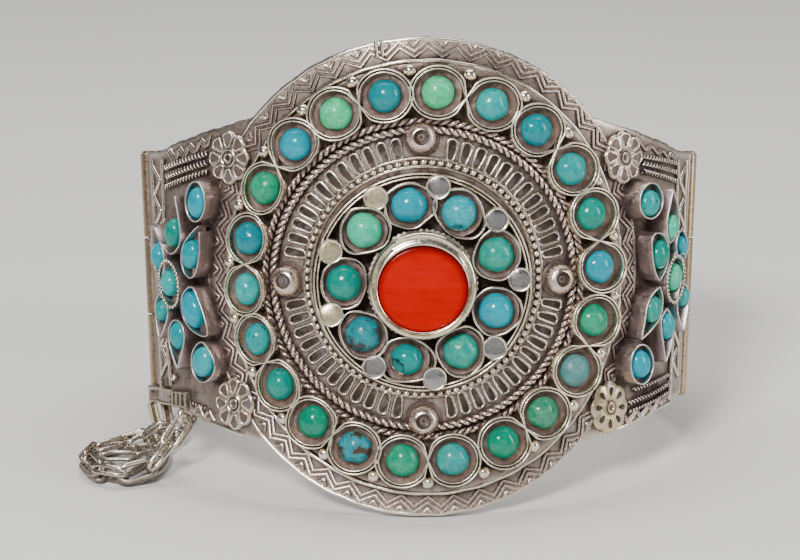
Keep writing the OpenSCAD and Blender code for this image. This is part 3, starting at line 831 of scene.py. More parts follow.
def carnelian_group():
    """Flat orange-red stone, faintly banded, and darker towards its rim and most at its top: a painted
    shadow of the bezel's lip
    """
    gives = [("Color", "Color"), ("Roughness", "Float")]
    tree, _, out = new_tree("carnelian", "ShaderNodeTree", [], gives)
    spot = object_mm(tree)
    bands = noise(tree, vector(tree, "MULTIPLY", spot, (0.08, 0.08, 1.0)), 1.6, 4.0, 0.6)
    haze = noise(tree, spot, 0.22, 3.0)
    body = mix(tree, spread(tree, bands, 0.35, 0.65), (0.40, 0.0, 0.0, 1), (0.47, 0.002, 0.0, 1))
    body = mix(tree, spread(tree, haze, 0.45, 0.65, 0.0, 0.6), body, (0.52, 0.006, 0.0, 1))
    # Painted shadow of the bezel's lip: darker towards the rim
    edge = spread(tree, mark(tree, "rim"), 0.84, 1.06)
    tree.links.new(mix(tree, edge, body, (0.09, 0.002, 0.002, 1)), out.inputs["Color"])
    rough = spread(tree, noise(tree, spot, 0.9, 5.0, 0.7), 0.3, 0.7, 0.10, 0.22)
    tree.links.new(rough, out.inputs["Roughness"])
    return tree


def linear(red, green, blue):
    """A colour given as seen on a screen, 0 to 255, for a shader's socket"""
    shares = [c / 255 for c in (red, green, blue)]
    return tuple(((c + 0.055) / 1.055) ** 2.4 if c > 0.04 else c / 12.92 for c in shares) + (1.0,)


def stone_colour(red, green, blue):
    """A stone's colour as seen on a screen, deepened for the light it stands in"""
    return tuple(0.64 * c for c in linear(red, green, blue)[:3]) + (1.0,)


def material(name, group, values, bump=0.0, mirror=0.5):
    """A material whose colour, roughness and bump come from a group with its own values"""
    made = bpy.data.materials.new(name)
    made.use_nodes = True
    tree = made.node_tree
    shader = tree.nodes["Principled BSDF"]
    source = node(tree, "ShaderNodeGroup", None, node_tree=group)
    for key, value in values.items():
        source.inputs[key].default_value = value
    for output, socket in (("Color", "Base Color"), ("Roughness", "Roughness"), ("Metallic", "Metallic")):
        if output in source.outputs:
            tree.links.new(source.outputs[output], shader.inputs[socket])
    if bump:
        feeds = {"Height": source.outputs["Height"], "Distance": bump, "Strength": 0.6}
        tree.links.new(node(tree, "ShaderNodeBump", feeds).outputs[0], shader.inputs["Normal"])
    shader.inputs["Specular IOR Level"].default_value = mirror
    return made


def silver(name, bright, dull, tarnish_shade_colour, amount, gloss, bump):
    """One finish of the aged silver"""
    colours = {"Bright": linear(*bright), "Dull": linear(*dull), "Tarnish and shade": linear(*tarnish_shade_colour)}
    return material(name, SILVER, colours | {"Amount": amount, "Gloss": gloss}, bump)


def turquoise(name, main, second, matrix, cloud, veins, specks, patches, gloss):
    """One kind of turquoise"""
    values = {"Main": stone_colour(*main), "Second": stone_colour(*second), "Matrix": stone_colour(*matrix)}
    values |= {"Cloud": cloud, "Veins": veins, "Specks": specks, "Patches": patches, "Gloss": gloss}
    return material(name, TURQUOISE, values, bump=0.00003, mirror=0.4)


SILVER = aged_silver_group()
SILVERS = {
    # name: bright, dull, tarnish and painted shade, amount, gloss, bump
    "sheet_silver": ((206, 192, 178), (134, 117, 107), (62, 47, 41), 1.0, 0.36, 0.00008),
    "wire_silver": ((250, 240, 222), (160, 142, 128), (62, 47, 40), 1.0, 0.22, 0.00004),
    "strip_silver": ((250, 240, 218), (196, 178, 156), (72, 56, 48), 0.55, 0.3, 0.00001),
    "cell_silver": ((216, 201, 184), (140, 121, 110), (76, 60, 52), 0.8, 0.26, 0.00004),
    "wall_silver": ((226, 214, 212), (174, 157, 155), (104, 88, 84), 0.22, 0.34, 0.00001),
    "bright_silver": ((244, 237, 220), (158, 147, 132), (74, 60, 51), 0.7, 0.22, 0.00004),
    "cream_silver": ((214, 200, 160), (150, 137, 104), (76, 62, 46), 0.6, 0.28, 0.00005),
    "barrel_silver": ((190, 166, 134), (130, 108, 86), (66, 50, 39), 0.8, 0.32, 0.00005),
    "back_silver": ((196, 186, 174), (150, 138, 128), (84, 68, 60), 0.8, 0.38, 0.00008),
    "bezel_silver": ((244, 234, 210), (150, 138, 118), (58, 46, 38), 1.0, 0.2, 0.00002),
    "face_silver": ((158, 154, 154), (96, 92, 92), (80, 72, 68), 0.4, 0.2, 0.00002),
    "ridge_silver": ((226, 208, 196), (134, 114, 106), (62, 46, 42), 1.0, 0.28, 0.00004),
    "petal_silver": ((214, 199, 164), (160, 142, 108), (88, 70, 53), 0.7, 0.34, 0.00004),
    "floor_silver": ((158, 138, 130), (122, 104, 97), (74, 58, 53), 0.7, 0.5, 0.00012),
    # Dark metal for openings, gaps and pits: painted shade
    "hollow_shade_silver": ((112, 96, 84), (80, 66, 57), (44, 34, 29), 1.0, 0.45, 0.00006),
}
(
    sheet_silver, wire_silver, strip_silver, cell_silver, wall_silver, bright_silver, cream_silver,
    barrel_silver, back_silver, bezel_silver, face_silver, ridge_silver, petal_silver, floor_silver,
    hollow_shade_silver,
) = [silver(name, *row) for name, row in SILVERS.items()]

TURQUOISE = turquoise_group()
KINDS = {
    # name: main, second, matrix, cloud, veins, specks, patches, gloss
    "cyan": ((0, 166, 176), (0, 178, 188), (20, 84, 90), 0.45, 0.1, 0.0, 0.0, 0.14),
    "light_blue": ((0, 180, 192), (56, 196, 204), (30, 90, 100), 0.5, 0.1, 0.0, 0.0, 0.14),
    "mottled_green": ((30, 232, 156), (100, 244, 180), (60, 100, 56), 0.9, 0.5, 0.3, 0.3, 0.16),
    "light_turquoise": ((0, 184, 184), (66, 202, 198), (40, 100, 90), 0.5, 0.1, 0.0, 0.0, 0.12),
    "deep_teal": ((0, 146, 164), (0, 162, 168), (10, 60, 62), 0.45, 0.15, 0.1, 0.0, 0.12),
    "speckled_turquoise": ((0, 174, 180), (40, 190, 182), (20, 34, 28), 0.6, 0.25, 1.0, 0.0, 0.15),
    "teal_green": ((0, 154, 140), (0, 170, 146), (16, 84, 64), 0.5, 0.1, 0.1, 0.0, 0.12),
    "bright_blue": ((0, 172, 194), (0, 184, 204), (20, 90, 102), 0.4, 0.05, 0.05, 0.0, 0.1),
    "sea_green": ((0, 168, 124), (44, 190, 144), (30, 74, 46), 0.6, 0.35, 0.25, 0.0, 0.14),
    "grey_teal": ((78, 150, 150), (104, 168, 162), (60, 76, 66), 0.7, 0.2, 0.1, 0.0, 0.38),
    "streaked_green": ((34, 148, 112), (84, 178, 136), (20, 50, 32), 1.1, 0.3, 0.9, 0.0, 0.16),
    "deep_green": ((0, 144, 112), (0, 162, 124), (14, 60, 38), 0.4, 0.05, 0.1, 0.0, 0.1),
    "clouded_blue": ((0, 176, 188), (66, 192, 172), (60, 92, 64), 1.0, 0.6, 0.2, 0.3, 0.16),
    "matrix_blue": ((0, 164, 184), (30, 182, 190), (78, 60, 42), 0.7, 0.8, 0.3, 0.47, 0.18),
    "pale_green": ((20, 222, 176), (96, 236, 190), (50, 100, 66), 0.7, 0.2, 0.15, 0.0, 0.14),
    "clouded_teal": ((0, 172, 160), (60, 192, 160), (56, 98, 60), 0.8, 0.3, 0.1, 0.28, 0.13),
    "chipped_blue": ((0, 190, 204), (66, 206, 214), (50, 54, 46), 0.7, 0.5, 0.6, 0.0, 0.16),
    "broken_teal": ((0, 152, 148), (0, 166, 160), (50, 74, 58), 0.5, 0.05, 0.0, 0.0, 0.12),
    "half_matrix": ((0, 156, 168), (20, 172, 180), (62, 74, 76), 0.6, 0.5, 0.2, 0.46, 0.16),
}
turquoises = {name: turquoise(name, *row) for name, row in KINDS.items()}
carnelian_red = material("carnelian_red", carnelian_group(), {}, mirror=0.08)

WIRE, STRIP, ZIGZAG = twisted_wire_tree(), strip_tree(), zigzag_tree()
GRANULES, LOOPS = granule_tree(), wire_loop_tree()


# The sheet and the raised field


def front_sheet():
    """Curved sheet of the disc and both wings, its edges rounded"""
    end = FRONT_S + SIDE_R * (HINGE_A - LEAF_END / (SIDE_R - BARREL_IN) - FRONT_A)
    marks = np.concatenate((
        np.linspace(-end, end, 264),
        [-COLLAR_U - 0.01, -COLLAR_U + 0.01, -ROOT_TOP, ROOT_TOP, -ROOT_BOTTOM, ROOT_BOTTOM],
    ))
    marks = np.sort(marks)
    front = np.linspace(0, 1, 100)
    rows = []
    for u in marks:
        low, high = low_edge(u), top_edge(u)
        low += 0.06 * math.sin(u * 1.3) + 0.05 * math.sin(u * 2.9 + 1)
        high += 0.06 * math.sin(u * 1.1 + 2) + 0.05 * math.sin(u * 3.1)
        a, b = low + 0.25, high - 0.25
        row = [(u, a + (b - a) * f, 0) for f in front]
        row += [(u, high - 0.07, -0.08), (u, high, -0.3), (u, high, -0.9), (u, high - 0.07, -1.12)]
        row += [(u, b + (a - b) * f, -SHEET_T) for f in front[::3]]
        row += [(u, low + 0.07, -1.12), (u, low, -0.9), (u, low, -0.3), (u, low + 0.07, -0.08)]
        rows.append(row)
    return skin(rows)


def field_plate():
    """Raised plate of the disc, slightly hammered"""
    fractions = np.concatenate((np.linspace(0, 0.985, 92), (0.996, 1.0), np.linspace(1, 0, 9)))
    heights = np.concatenate((np.full(92, FIELD_T), (FIELD_T - 0.05, FIELD_T - 0.2), np.full(9, -0.3)))
    rows = []
    for a in np.arange(440) * 2 * math.pi / 440:
        row = []
        for f, h in zip(fractions, heights):
            u, v = FIELD_U + FIELD_W * f * math.sin(a), DISC_MID + FIELD_H * f * math.cos(a)
            dent = 0.03 * math.sin(u * 1.7 + 2 * math.sin(v * 0.9)) * math.sin(v * 1.5) if h > 0.8 else 0
            row.append((u, v, h + dent))
        rows.append(row)
    return skin(rows, loop=True, ring=False)


front = shape_piece("front_sheet", [(*front_sheet(), sheet_silver)], band, sharp=40)
field = shape_piece("raised_field", [(*field_plate(), sheet_silver)], band, sharp=40)


# Border of zigzag ridges, and plain wires


def zigzag_count(path, period):
    """How many points a closed path needs, two for each zigzag"""
    closed = np.vstack((path, path[:1]))
    return 2 * round(np.linalg.norm(np.diff(closed, axis=0), axis=1).sum() / period)


border = ring_path(27.45, 28.2, (0.5, DISC_MID), 720, 0.1)
border = even_points(border, zigzag_count(border, 3.4))
points, edges, (shift,) = lines([(border, True, 0.36), (border, True, -0.36)])
sizes = {"Depth": 1.35, "Ridge": 0.25}
grow("zigzag_border", ZIGZAG, points, sizes, ridge_silver, edges=edges, shift=shift)

# Ridges along the wings' edges, by spots of the picture: girth, offsets of the rows, corners of a row
TEETH = (
    (0.45, ((0, -1), (-0.5, -3.6)), (
        (624.4, 418.8), (628.4, 423.6), (636, 412.4), (640.4, 418.4), (648.4, 407.6), (653, 412),
        (658, 401.6), (661, 404.5), (666, 396.5), (668.8, 399.5),
    )),
    (0.42, ((0, 0), (2.0, -1.5)), (
        (168.2, 151.4), (174.8, 161.2), (178.1, 149), (184.1, 157.4), (188, 145.4), (194.6, 152.8),
        (199.5, 140.8), (206, 147), (208, 137.5),
    )),
    (0.55, ((0, 1.5),), (
        (636.2, 134.2), (645.2, 148.2), (651.8, 144.4), (657.2, 151.8), (662.4, 148.6), (668, 157.2),
        (671, 151.8), (674.6, 159.6), (677, 156),
    )),
    (0.22, ((0, -1),), (
        (185, 410.5), (189.5, 404.5), (194, 413), (199, 406), (204, 418), (209.5, 411.5), (214.5, 422),
    )),
)
teeth = []
for wide, rows, spots in TEETH:
    for dx, dy in rows:
        corners = [
            (u, min(max(v, low_edge(u) + 0.25), top_edge(u) - 0.2), 0.1)
            for u, v in seen([(x + dx, y + dy) for x, y in spots], 0.15)
        ]
        teeth.append((straight(*corners, step=0.1), False, wide))
plain_wires("wing_teeth", teeth, 0.3, 0.08, 6, ridge_silver)
wires = [
    (ring_path(28.95, 29.38, (0, DISC_MID), 300, 0.02), True, 0.9),
    (ring_path(25.6, 26.75, (0.35, DISC_MID), 300, 0.7), True, 1.3),
    (ring_path(14.65, 14.75, (-0.1, -0.12), 200, 0.95), True, 0.75),
    (ring_path(13.72, 13.95, (-0.15, -0.3), 200, 0.95), True, 0.75),
]
for u in (-5.6, -4.95):
    wires.append((straight((u, 27.0, 0.4), (u - 0.15, 28.9, 0.3)), False, 0.9))
for side in (-1, 1):
    for low, high, slant in ((12.2, 14.6, 0.25), (-16.4 if side > 0 else -14.6, -11.0, -0.3)):
        wires.append((straight((side * 37.9, low, 0.3), (side * (37.9 - slant), high, 0.3)), False, 1.6))
    wires.append((straight((side * 38.0, 12.2, 0.15), (side * 38.7, -11.0, 0.15)), False, 0.9))
    wires.append((straight((side * 41.6, 14.6, 0.1), (side * 41.6, -14.0, 0.1)), False, 0.7))
    corners = [(side * (38.9 if i % 2 else 41.3), 13.8 - i * 1.95, 0.1) for i in range(15)]
    wires.append((straight(*corners), False, 0.6))
for start, end, count, inset, girth in ((26.6, 39.0, 40, 0.2, 0.95), (-29.5, -24.0, 24, 0.28, 1.0)):
    edge = [(u, low_edge(u) + inset, 0.0) for u in np.linspace(start, end, count)]
    wires.append((edge, False, girth))
plain_wires("plain_wires", wires, 0.26, 0.5, 6, wire_silver, wobble=0.04)

# Small chevrons stand outside the border's ridges
chevrons = []
for x, y, _ in border[1::2]:
    way = np.array((x - 0.5, (y - DISC_MID) * 0.97))
    way /= np.linalg.norm(way)
    along = np.array((way[1], -way[0]))
    spot = np.array((x, y))
    if any(np.linalg.norm(spot - r) < 3.6 for r in np.array(ROSETTES)):
        continue
    sides = [spot + way * 1.1 - along * 0.62, spot + way * 0.4, spot + way * 1.1 + along * 0.62]
    chevrons.append((straight(*[(*p, 0.05) for p in sides]), False, 0.6))
plain_wires("border_chevrons", chevrons, 0.26, 0.45, 5, ridge_silver)

# Two ropes twisted against each other make the herringbone ring
ropes = [
    (ring_path(19.66, 19.46, (0, -0.25), 400, 1.4), True, 1.0, -1.0),
    (ring_path(18.58, 18.38, (0, -0.2), 400, 1.4), True, 1.0, 1.0),
]
points, edges, (girth, twist) = lines(ropes)
sizes = {"Wire": 0.27, "Spread": 0.27, "Lay": 1.95, "Step": 0.2, "Strands": 2, "Sides": 6}
grow("herringbone_ropes", WIRE, points, sizes, ridge_silver, edges=edges, girth=girth, twist=twist)

# Ropes across the wings, from one spot of the picture to another: height over the face, girth, way round
ROPES = (
    (((164.6, 168.2), (207.6, 153.4)), 0.42, 1.3, 1.0), (((166.4, 177), (208.6, 162)), 0.42, 1.45, 1.0),
    (((166.4, 187), (208, 171.6)), 0.42, 1.3, -1.0), (((642.4, 156.4), (678, 163.6)), 0.38, 0.95, -1.0),
    (((642.6, 163), (678, 172.8)), 0.4, 1.05, -1.0), (((642.8, 171), (677.4, 181.6)), 0.38, 0.95, 1.0),
    (((668.5, 374.2), (633, 390)), 0.26, 0.8, 1.0), (((669.2, 383), (629, 403.4)), 0.26, 0.85, 1.0),
    (((669.6, 390), (627.4, 412)), 0.26, 0.8, -1.0), (((166, 389), (206, 408)), 0.06, 0.7, 1.0),
    (((168, 396), (204, 413)), 0.06, 0.7, -1.0),
)
wing_ropes = []
for spots, height, girth, twist in ROPES:
    a, b = seen(spots, height)
    wing_ropes.append((straight((*a, height), (*b, height)), False, girth, twist))
points, edges, (girth, twist) = lines(wing_ropes)
# The dark cores are painted shade between the ropes' strands
for name, sizes, metal in (
    ("wing_ropes", {"Wire": 0.14, "Spread": 0.21, "Lay": 0.6, "Step": 0.05, "Sides": 5}, ridge_silver),
    ("wing_rope_cores", {"Wire": 0.2, "Spread": 0.0, "Lay": 1.0, "Step": 0.5, "Sides": 8}, hollow_shade_silver),
):
    grow(name, WIRE, points, sizes | {"Strands": 1}, metal, edges=edges, girth=girth, twist=twist)

# Ring of wire loops between the bosses
LOOP_RING, LOOPS_A_QUARTER, LOOPS_FROM, LOOPS_OVER = (16.2, 16.15), 12, 11.5, 67
loop_spots, loop_turns = [], []
for quarter in range(4):
    for i in range(LOOPS_A_QUARTER):
        a = math.radians(quarter * 90 + LOOPS_FROM + i * LOOPS_OVER / (LOOPS_A_QUARTER - 1))
        loop_spots.append((LOOP_RING[0] * math.sin(a), DISC_MID + LOOP_RING[1] * math.cos(a), 1.05))
        loop_turns.append((0, 0, -a))
same = [(1, 1, 1)] * len(loop_spots)
sizes = {"Long": 3.15, "Wide": 1.5, "Wire": 0.19, "Taper": 0.12, "Steps": 22}
grow("filigree_loops", LOOPS, loop_spots, sizes, wire_silver, wobble=0.04, turn=loop_turns, stretch=same)


def opening(half_w, half_h, taper, turn, spot, height):
    """An oval patch laid on the ground, wider at its outer end, that stands for an opening; its metal paints
    the opening's shade
    """
    a = np.arange(20) * 2 * math.pi / 20
    x = half_w * np.cos(a) * (1 + taper * np.sin(a))
    flat = np.column_stack((turned(x, half_h * np.sin(a), turn, spot), np.full(len(a), height)))
    return skin([flat - (0, 0, 0.15), flat])


# Dark patches inside the wire loops: painted shade of openings
pits = []
for spot, turn in zip(loop_spots, loop_turns):
    pits.append((*opening(0.42, 1.24, 0.12, turn[2], spot, FIELD_T + 0.08), hollow_shade_silver))
shape_piece("filigree_openings", pits, band)

# Granules: the bead ring round the middle, the balls in the outer gaps and on the wings
WING_BALLS = (
    (183.5, 281.5, 0.5), (185.5, 352, 0.5), (165, 345, 0.45), (173, 378, 0.5), (163, 222, 0.45),
    (231, 262, 0.4),
)
beads = even_points(ring_path(14.2, 14.35, (-0.12, -0.2), 200, 1.2), 88)
balls = [(*p, 0.42) for p in beads]
for i, (angle, _) in enumerate(OUTER):
    nearby = OUTER[(i + 1) % len(OUTER)][0] + (360 if i == len(OUTER) - 1 else 0)
    a = math.radians((angle + nearby) / 2)
    balls.append((24.5 * math.sin(a), 25.4 * math.cos(a), 1.5, 0.8))
for x, y, size in WING_BALLS:
    balls.append((*seen([(x, y)], 0.6)[0], 0.45, size))
grow("granules", GRANULES, [b[:3] for b in balls], {"Flat": 0.95}, wire_silver, girth=[b[3] for b in balls])

# Strips of the outer ring: each pair of stones has one strip, crossed between them


def eight(a, b, radius, waist):
    """Flat path of a strip round two stones, crossing between them"""
    a, b = np.array(a), np.array(b)
    base = math.atan2(*(b - a)[::-1])
    there = np.linspace(base + waist, base + 2 * math.pi - waist, 46)
    back = np.linspace(base + math.pi - waist, base - math.pi + waist, 46)
    path = [a + radius * np.array((math.cos(t), math.sin(t))) for t in there]
    path += [b + radius * np.array((math.cos(t), math.sin(t))) for t in back]
    return np.array(path)


def ring_line(v):
    """How far out the ring of stones runs at a height"""
    return OUTER_W * math.sqrt(max(0, 1 - (v / OUTER_H) ** 2))


def squeeze(u, v):
    """Share that the ring's cells lose in width, at its left side only"""
    return 0.2 * min(1, max(0, (ring_line(v) / OUTER_W - 0.6) / 0.3)) if u < 0 else 0.0


def narrowed(path):
    """A path of the ring's cells, drawn towards the ring's line at the left side"""
    for point in path:
        point[0] -= (point[0] + ring_line(point[1])) * squeeze(point[0], point[1])
    return path


WAIST = math.radians(38)
outer_spots = [
    (OUTER_W * math.sin(math.radians(a)), OUTER_H * math.cos(math.radians(a))) for a, _ in OUTER
]
pairs = [(i, (i + 1) % len(OUTER)) for i in range(0, len(OUTER), 2)]
for name, radius, thick, top in (
    ("outer_strips", 3.24, 0.21, CELL_TOP), ("outer_inner_strips", 2.88, 0.17, 2.9),
):
    paths = [(narrowed(eight(outer_spots[i], outer_spots[j], radius, WAIST)), True) for i, j in pairs]
    strips(name, paths, thick, 0.5, top, 0.35, strip_silver, wobble=0.015)

# Cells of the wings


def seen_oval(row):
    """Flat path of an oval cell of the picture, at the height of its top"""
    return seen(oval(row[:2], *row[2:5]), row[5])


leaves = [(seen(softened(path, closed), WING_CELL_TOP), closed) for closed, path in WING_LEAVES]
strips("wing_leaves", leaves, 0.2, -0.2, WING_CELL_TOP, 0.3, wall_silver, wobble=0.03)
bezels, beaded = WING_OVALS[:3], WING_OVALS[3:]
for name, rows in (("wing_bezels", bezels), ("beaded_ovals", beaded)):
    paths = [(seen_oval(row), True) for row in rows]
    strips(name, paths, 0.22, -0.2, rows[0][5], 0.3, wall_silver, wobble=0.02)
cells = [(path, WING_CELL_TOP) for path, _ in leaves] + [(seen_oval(row), row[5]) for row in WING_OVALS]
floors = []
for path, top in cells:
    flat = np.column_stack((path, np.full(len(path), top - 1.25)))
    floors.append((*skin([flat - (0, 0, 0.2), flat]), cell_silver))
shape_piece("wing_floors", floors, band)
rims = [(*spot, 2.98) for row in beaded for spot in even_points(seen_oval(row), 30)]
grow("rim_beads", GRANULES, rims, {"Flat": 1.0}, cell_silver, girth=[0.24] * len(rims))

# Round the middle: oval cells that lean on each other, the wall outside them, and the studs between


def around(ring, angle, mid):
    """The flat place at an angle of a ring, clockwise from its top"""
    a = math.radians(angle)
    return mid[0] + ring * math.sin(a), mid[1] + ring * math.cos(a)


def moved(shape, x, y, h=0.0):
    """A shape moved to its place"""
    return shape[0] + (x, y, h), shape[1]


inner_cells = []
for i, (angle, _, long) in enumerate(INNER):
    a = math.radians(angle)
    spot = np.array(around(INNER_RING, angle, INNER_MID))
    along, out = np.array((math.cos(a), -math.sin(a))), np.array((math.sin(a), math.cos(a)))
    path = []
    for t in np.linspace(0, 2 * math.pi, 44, endpoint=False):
        bulge = 1 + 0.05 * math.cos(2 * t + i) + 0.03 * math.cos(3 * t + 2 * i)
        side = along * (3.08 * long * bulge * math.cos(t))
        path.append(spot + side + out * (2.86 * bulge * math.sin(t)))
    inner_cells.append((path, True))
strips("inner_cells", inner_cells, 0.3, -0.9, INNER_TOP, 0.35, cell_silver, square, wobble=0.1)
walls = [(ring_path(r, r, INNER_MID, 200)[:, :2], True) for r in (WALL_R, WALL_R - 0.42)]
strips("inner_wall", walls, 0.24, -1.1, WALL_TOP, 0.6, strip_silver, square)

# A stud is a sheath with a face set in it, and each leans its own way
STUD_SHEATH = (
    (0, -1.0), (STUD_R - 0.04, -1.0), (STUD_R, 2.9), (STUD_R - 0.03, 3.06), (STUD_R - 0.1, 3.16),
    (STUD_R - 0.2, 3.16), (STUD_R - 0.26, 3.1), (0, 3.0),
)
STUD_FACE = (
    (0, 2.9), (STUD_R - 0.24, 2.9), (STUD_R - 0.24, 3.1), (STUD_R * 0.7, 3.15), (STUD_R * 0.35, 3.18),
    (0, 3.19),
)
# Studs at the left get cream faces: painted warm light
CREAM_LIT_STUDS = (0, 7, 8)
studs = []
for i, angle in enumerate(STUDS):
    lean_x, lean_y = 0.07 * math.sin(2.1 * i + 0.5), 0.07 * math.cos(1.3 * i)
    face_metal = cream_silver if i in CREAM_LIT_STUDS else face_silver
    for profile, metal in ((STUD_SHEATH, strip_silver), (STUD_FACE, face_metal)):
        points, faces = lathe(profile, 40)
        points[:, 2] += np.where(points[:, 2] > 2, points[:, 0] * lean_x + points[:, 1] * lean_y, 0)
        studs.append((*moved((points, faces), *around(STUD_RING, angle, INNER_MID)), metal))
shape_piece("studs", studs, square, wobble=0.04, sharp=50)

# The middle stone in its bezel, as profiles of (radius, height)
BEZEL = (
    (0, 0.2), (6.5, 0.2), (6.8, 1.2), (6.84, 2.3), (6.78, 2.55), (6.3, 2.65), (6.3, 3.9), (6.44, 4.25),
    (6.56, 4.6), (6.46, 4.88), (6.24, 4.98), (6.04, 4.8), (5.94, 4.72), (5.74, 4.86), (5.5, 5.06),
    (5.36, 5.02), (5.27, 4.82), (5.27, 3.0), (0, 3.0),
)
CARNELIAN = (
    (0, 3.06), (5.28, 3.06), (CARNELIAN_R, 4.3), (5.22, 4.5), (5.1, 4.62), (4.85, 4.7), (4.3, 4.75),
    (3, 4.78), (1.5, 4.8), (0, 4.8),
)
# Rows of the bezel's profile: the toothed foot, and how far the lip follows the stone's edge
FOOT_ROWS, LIP_ROWS = (2, 3, 4), {12: 0.3, 13: 0.6, 14: 1, 15: 1, 16: 1, 17: 1}


def drop(angle):
    """How far the middle stone's edge lies off a circle: it is broad, and set low in its bezel"""
    return 0.22 * math.cos(angle) ** 2 - 0.36 * math.sin(angle)


def bezel_shape(row, angle):
    """Teeth round the foot of the middle bezel, and its inner lip round the stone"""
    return 0.09 * math.sin(60 * angle) if row in FOOT_ROWS else drop(angle) * LIP_ROWS.get(row, 0)


def stone_shape(row, angle):
    """The middle stone follows its own edge more towards its rim"""
    return drop(angle) * CARNELIAN[row][0] / CARNELIAN_R


bezel = moved(lathe(BEZEL, 264, bezel_shape), *BEZEL_MID)
shape_piece("middle_bezel", [(*bezel, bezel_silver)], square, sharp=55)
carnelian = moved(lathe(CARNELIAN, 96, stone_shape), *BEZEL_MID)
# The rim mark grows towards the stone's edge and more at its top: it paints the lip's shadow
rim = [
    radius / CARNELIAN_R * (1 + 0.09 * math.sin(i * math.pi / 48))
    for i in range(96) for radius, _ in CARNELIAN
]
stone = shape_piece("middle_carnelian", [(*carnelian, carnelian_red)], square, marks=rim)
# What is kept for the named pieces: body, material slot, replaced nodes
told = {stone: ("front", "carnelian", ["carnelian"]), front: ("front", "silver", ["front_panel"])}

# Bosses: a fluted knob with a hole
BOSS = (
    (0, -0.3), (2.2, -0.3), (2.22, 0.2), (2.0, 0.4), (1.94, 0.6), (1.9, 0.95), (1.72, 1.3), (1.35, 1.62),
    (1.06, 1.78), (0.96, 1.8), (0.88, 1.7), (0.84, 1.3), (0, 1.25),
)
BOSS_HOLE = ((0, 1.1), (0.83, 1.1), (0.83, 1.42), (0.6, 1.3), (0.3, 1.26), (0, 1.3))
FLUTED_ROWS = (4, 5, 6, 7)


def boss_ripple(row, angle):
    """Fine flutes round the side of a boss"""
    return 0.04 * math.cos(40 * angle) if row in FLUTED_ROWS else 0.0


bosses = []
for u, v in BOSSES:
    place = seated(u, v, FIELD_T)
    knob, hole = lathe(BOSS, 132, boss_ripple), lathe(BOSS_HOLE, 32)
    # The hole's floor is dark metal: painted shade
    for (points, faces), metal in ((knob, ridge_silver), (hole, hollow_shade_silver)):
        bosses.append((place(points), faces, metal))
shape_piece("bosses", bosses, sharp=50)


# Rosettes: a scalloped plate under looped petals, with a ring in the middle
PLATE = ((0, -0.3), (2.95, -0.3), (3.0, 0.35), (2.92, 0.62), (2.7, 0.76), (1.2, 0.76), (0, 0.6))
HEART_FLOOR = ((0, 0.4), (1.02, 0.4), (1.02, 0.84), (0.94, 0.84), (0, 0.8))
HEART = ((0, 0.6), (0.62, 0.6), (0.62, 0.92), (0.52, 0.98), (0.4, 0.94), (0.3, 0.8), (0, 0.78))
HEART_RING = ((0.86, 0.6), (1.04, 0.6), (1.04, 0.86), (0.95, 0.92), (0.86, 0.86), (0.86, 0.6))
SCALLOPED_ROWS = (1, 2, 3, 4)


def petal_edge(row, angle):
    """Scallops of the plate's edge, one for each petal"""
    return 0.34 * abs(math.cos(PETALS / 2 * angle)) - 0.2 if row in SCALLOPED_ROWS else 0.0


def rosette_place(points):
    """Round rosettes stretched to their oval shape and laid on the band"""
    points = np.asarray(points, float)
    spots = np.array(ROSETTES)
    nearest = spots[np.argmin(((points[:, None, :2] - spots) ** 2).sum(2), axis=1)]
    off = (points[:, :2] - nearest) * (0.95, 1.1)
    return band(np.column_stack((nearest + off, points[:, 2])))


plates, hearts, hollows, petals = [], [], [], []
for u, v in ROSETTES:
    pale = u > 0 > v
    metal, ring_metal = (petal_silver, petal_silver) if pale else (cell_silver, wire_silver)
    plates.append((*moved(lathe(PLATE, 120, petal_edge), u, v), metal))
    # The floor between heart and ring is dark metal: painted shade
    for profile, own in ((HEART_FLOOR, hollow_shade_silver), (HEART, metal), (HEART_RING, ring_metal)):
        hearts.append((*moved(lathe(profile, 36), u, v), own))
    for i in range(PETALS):
        a = i * 2 * math.pi / PETALS
        # The pale rosette's petals are small dark patches: painted shade of openings
        if pale:
            spot = (u + 1.86 * math.sin(a), v + 1.86 * math.cos(a))
            hollows.append((*opening(0.3, 0.56, 0.5, -a, spot, 0.8), hollow_shade_silver))
            continue
        spot = (u + 2.02 * math.sin(a), v + 2.02 * math.cos(a))
        hollows.append((*opening(0.5, 0.72, 0.3, -a, spot, 0.8), floor_silver))
        petals.append(((*spot, 0.76), (0, 0, -a), (1, 1, 1 if u < 0 else 1.3)))
shape_piece("rosette_plates", plates, rosette_place, sharp=50)
shape_piece("rosette_hearts", hearts, rosette_place, sharp=50)
shape_piece("rosette_hollows", hollows, rosette_place)
spots, turns, stretches = zip(*petals)
grow(
    "rosette_petals", LOOPS, spots, {"Long": 1.86, "Wide": 1.38, "Wire": 0.12, "Taper": 0.3, "Steps": 20},
    strip_silver, rosette_place, wobble=0.05, turn=turns, stretch=stretches,
)

# Stones


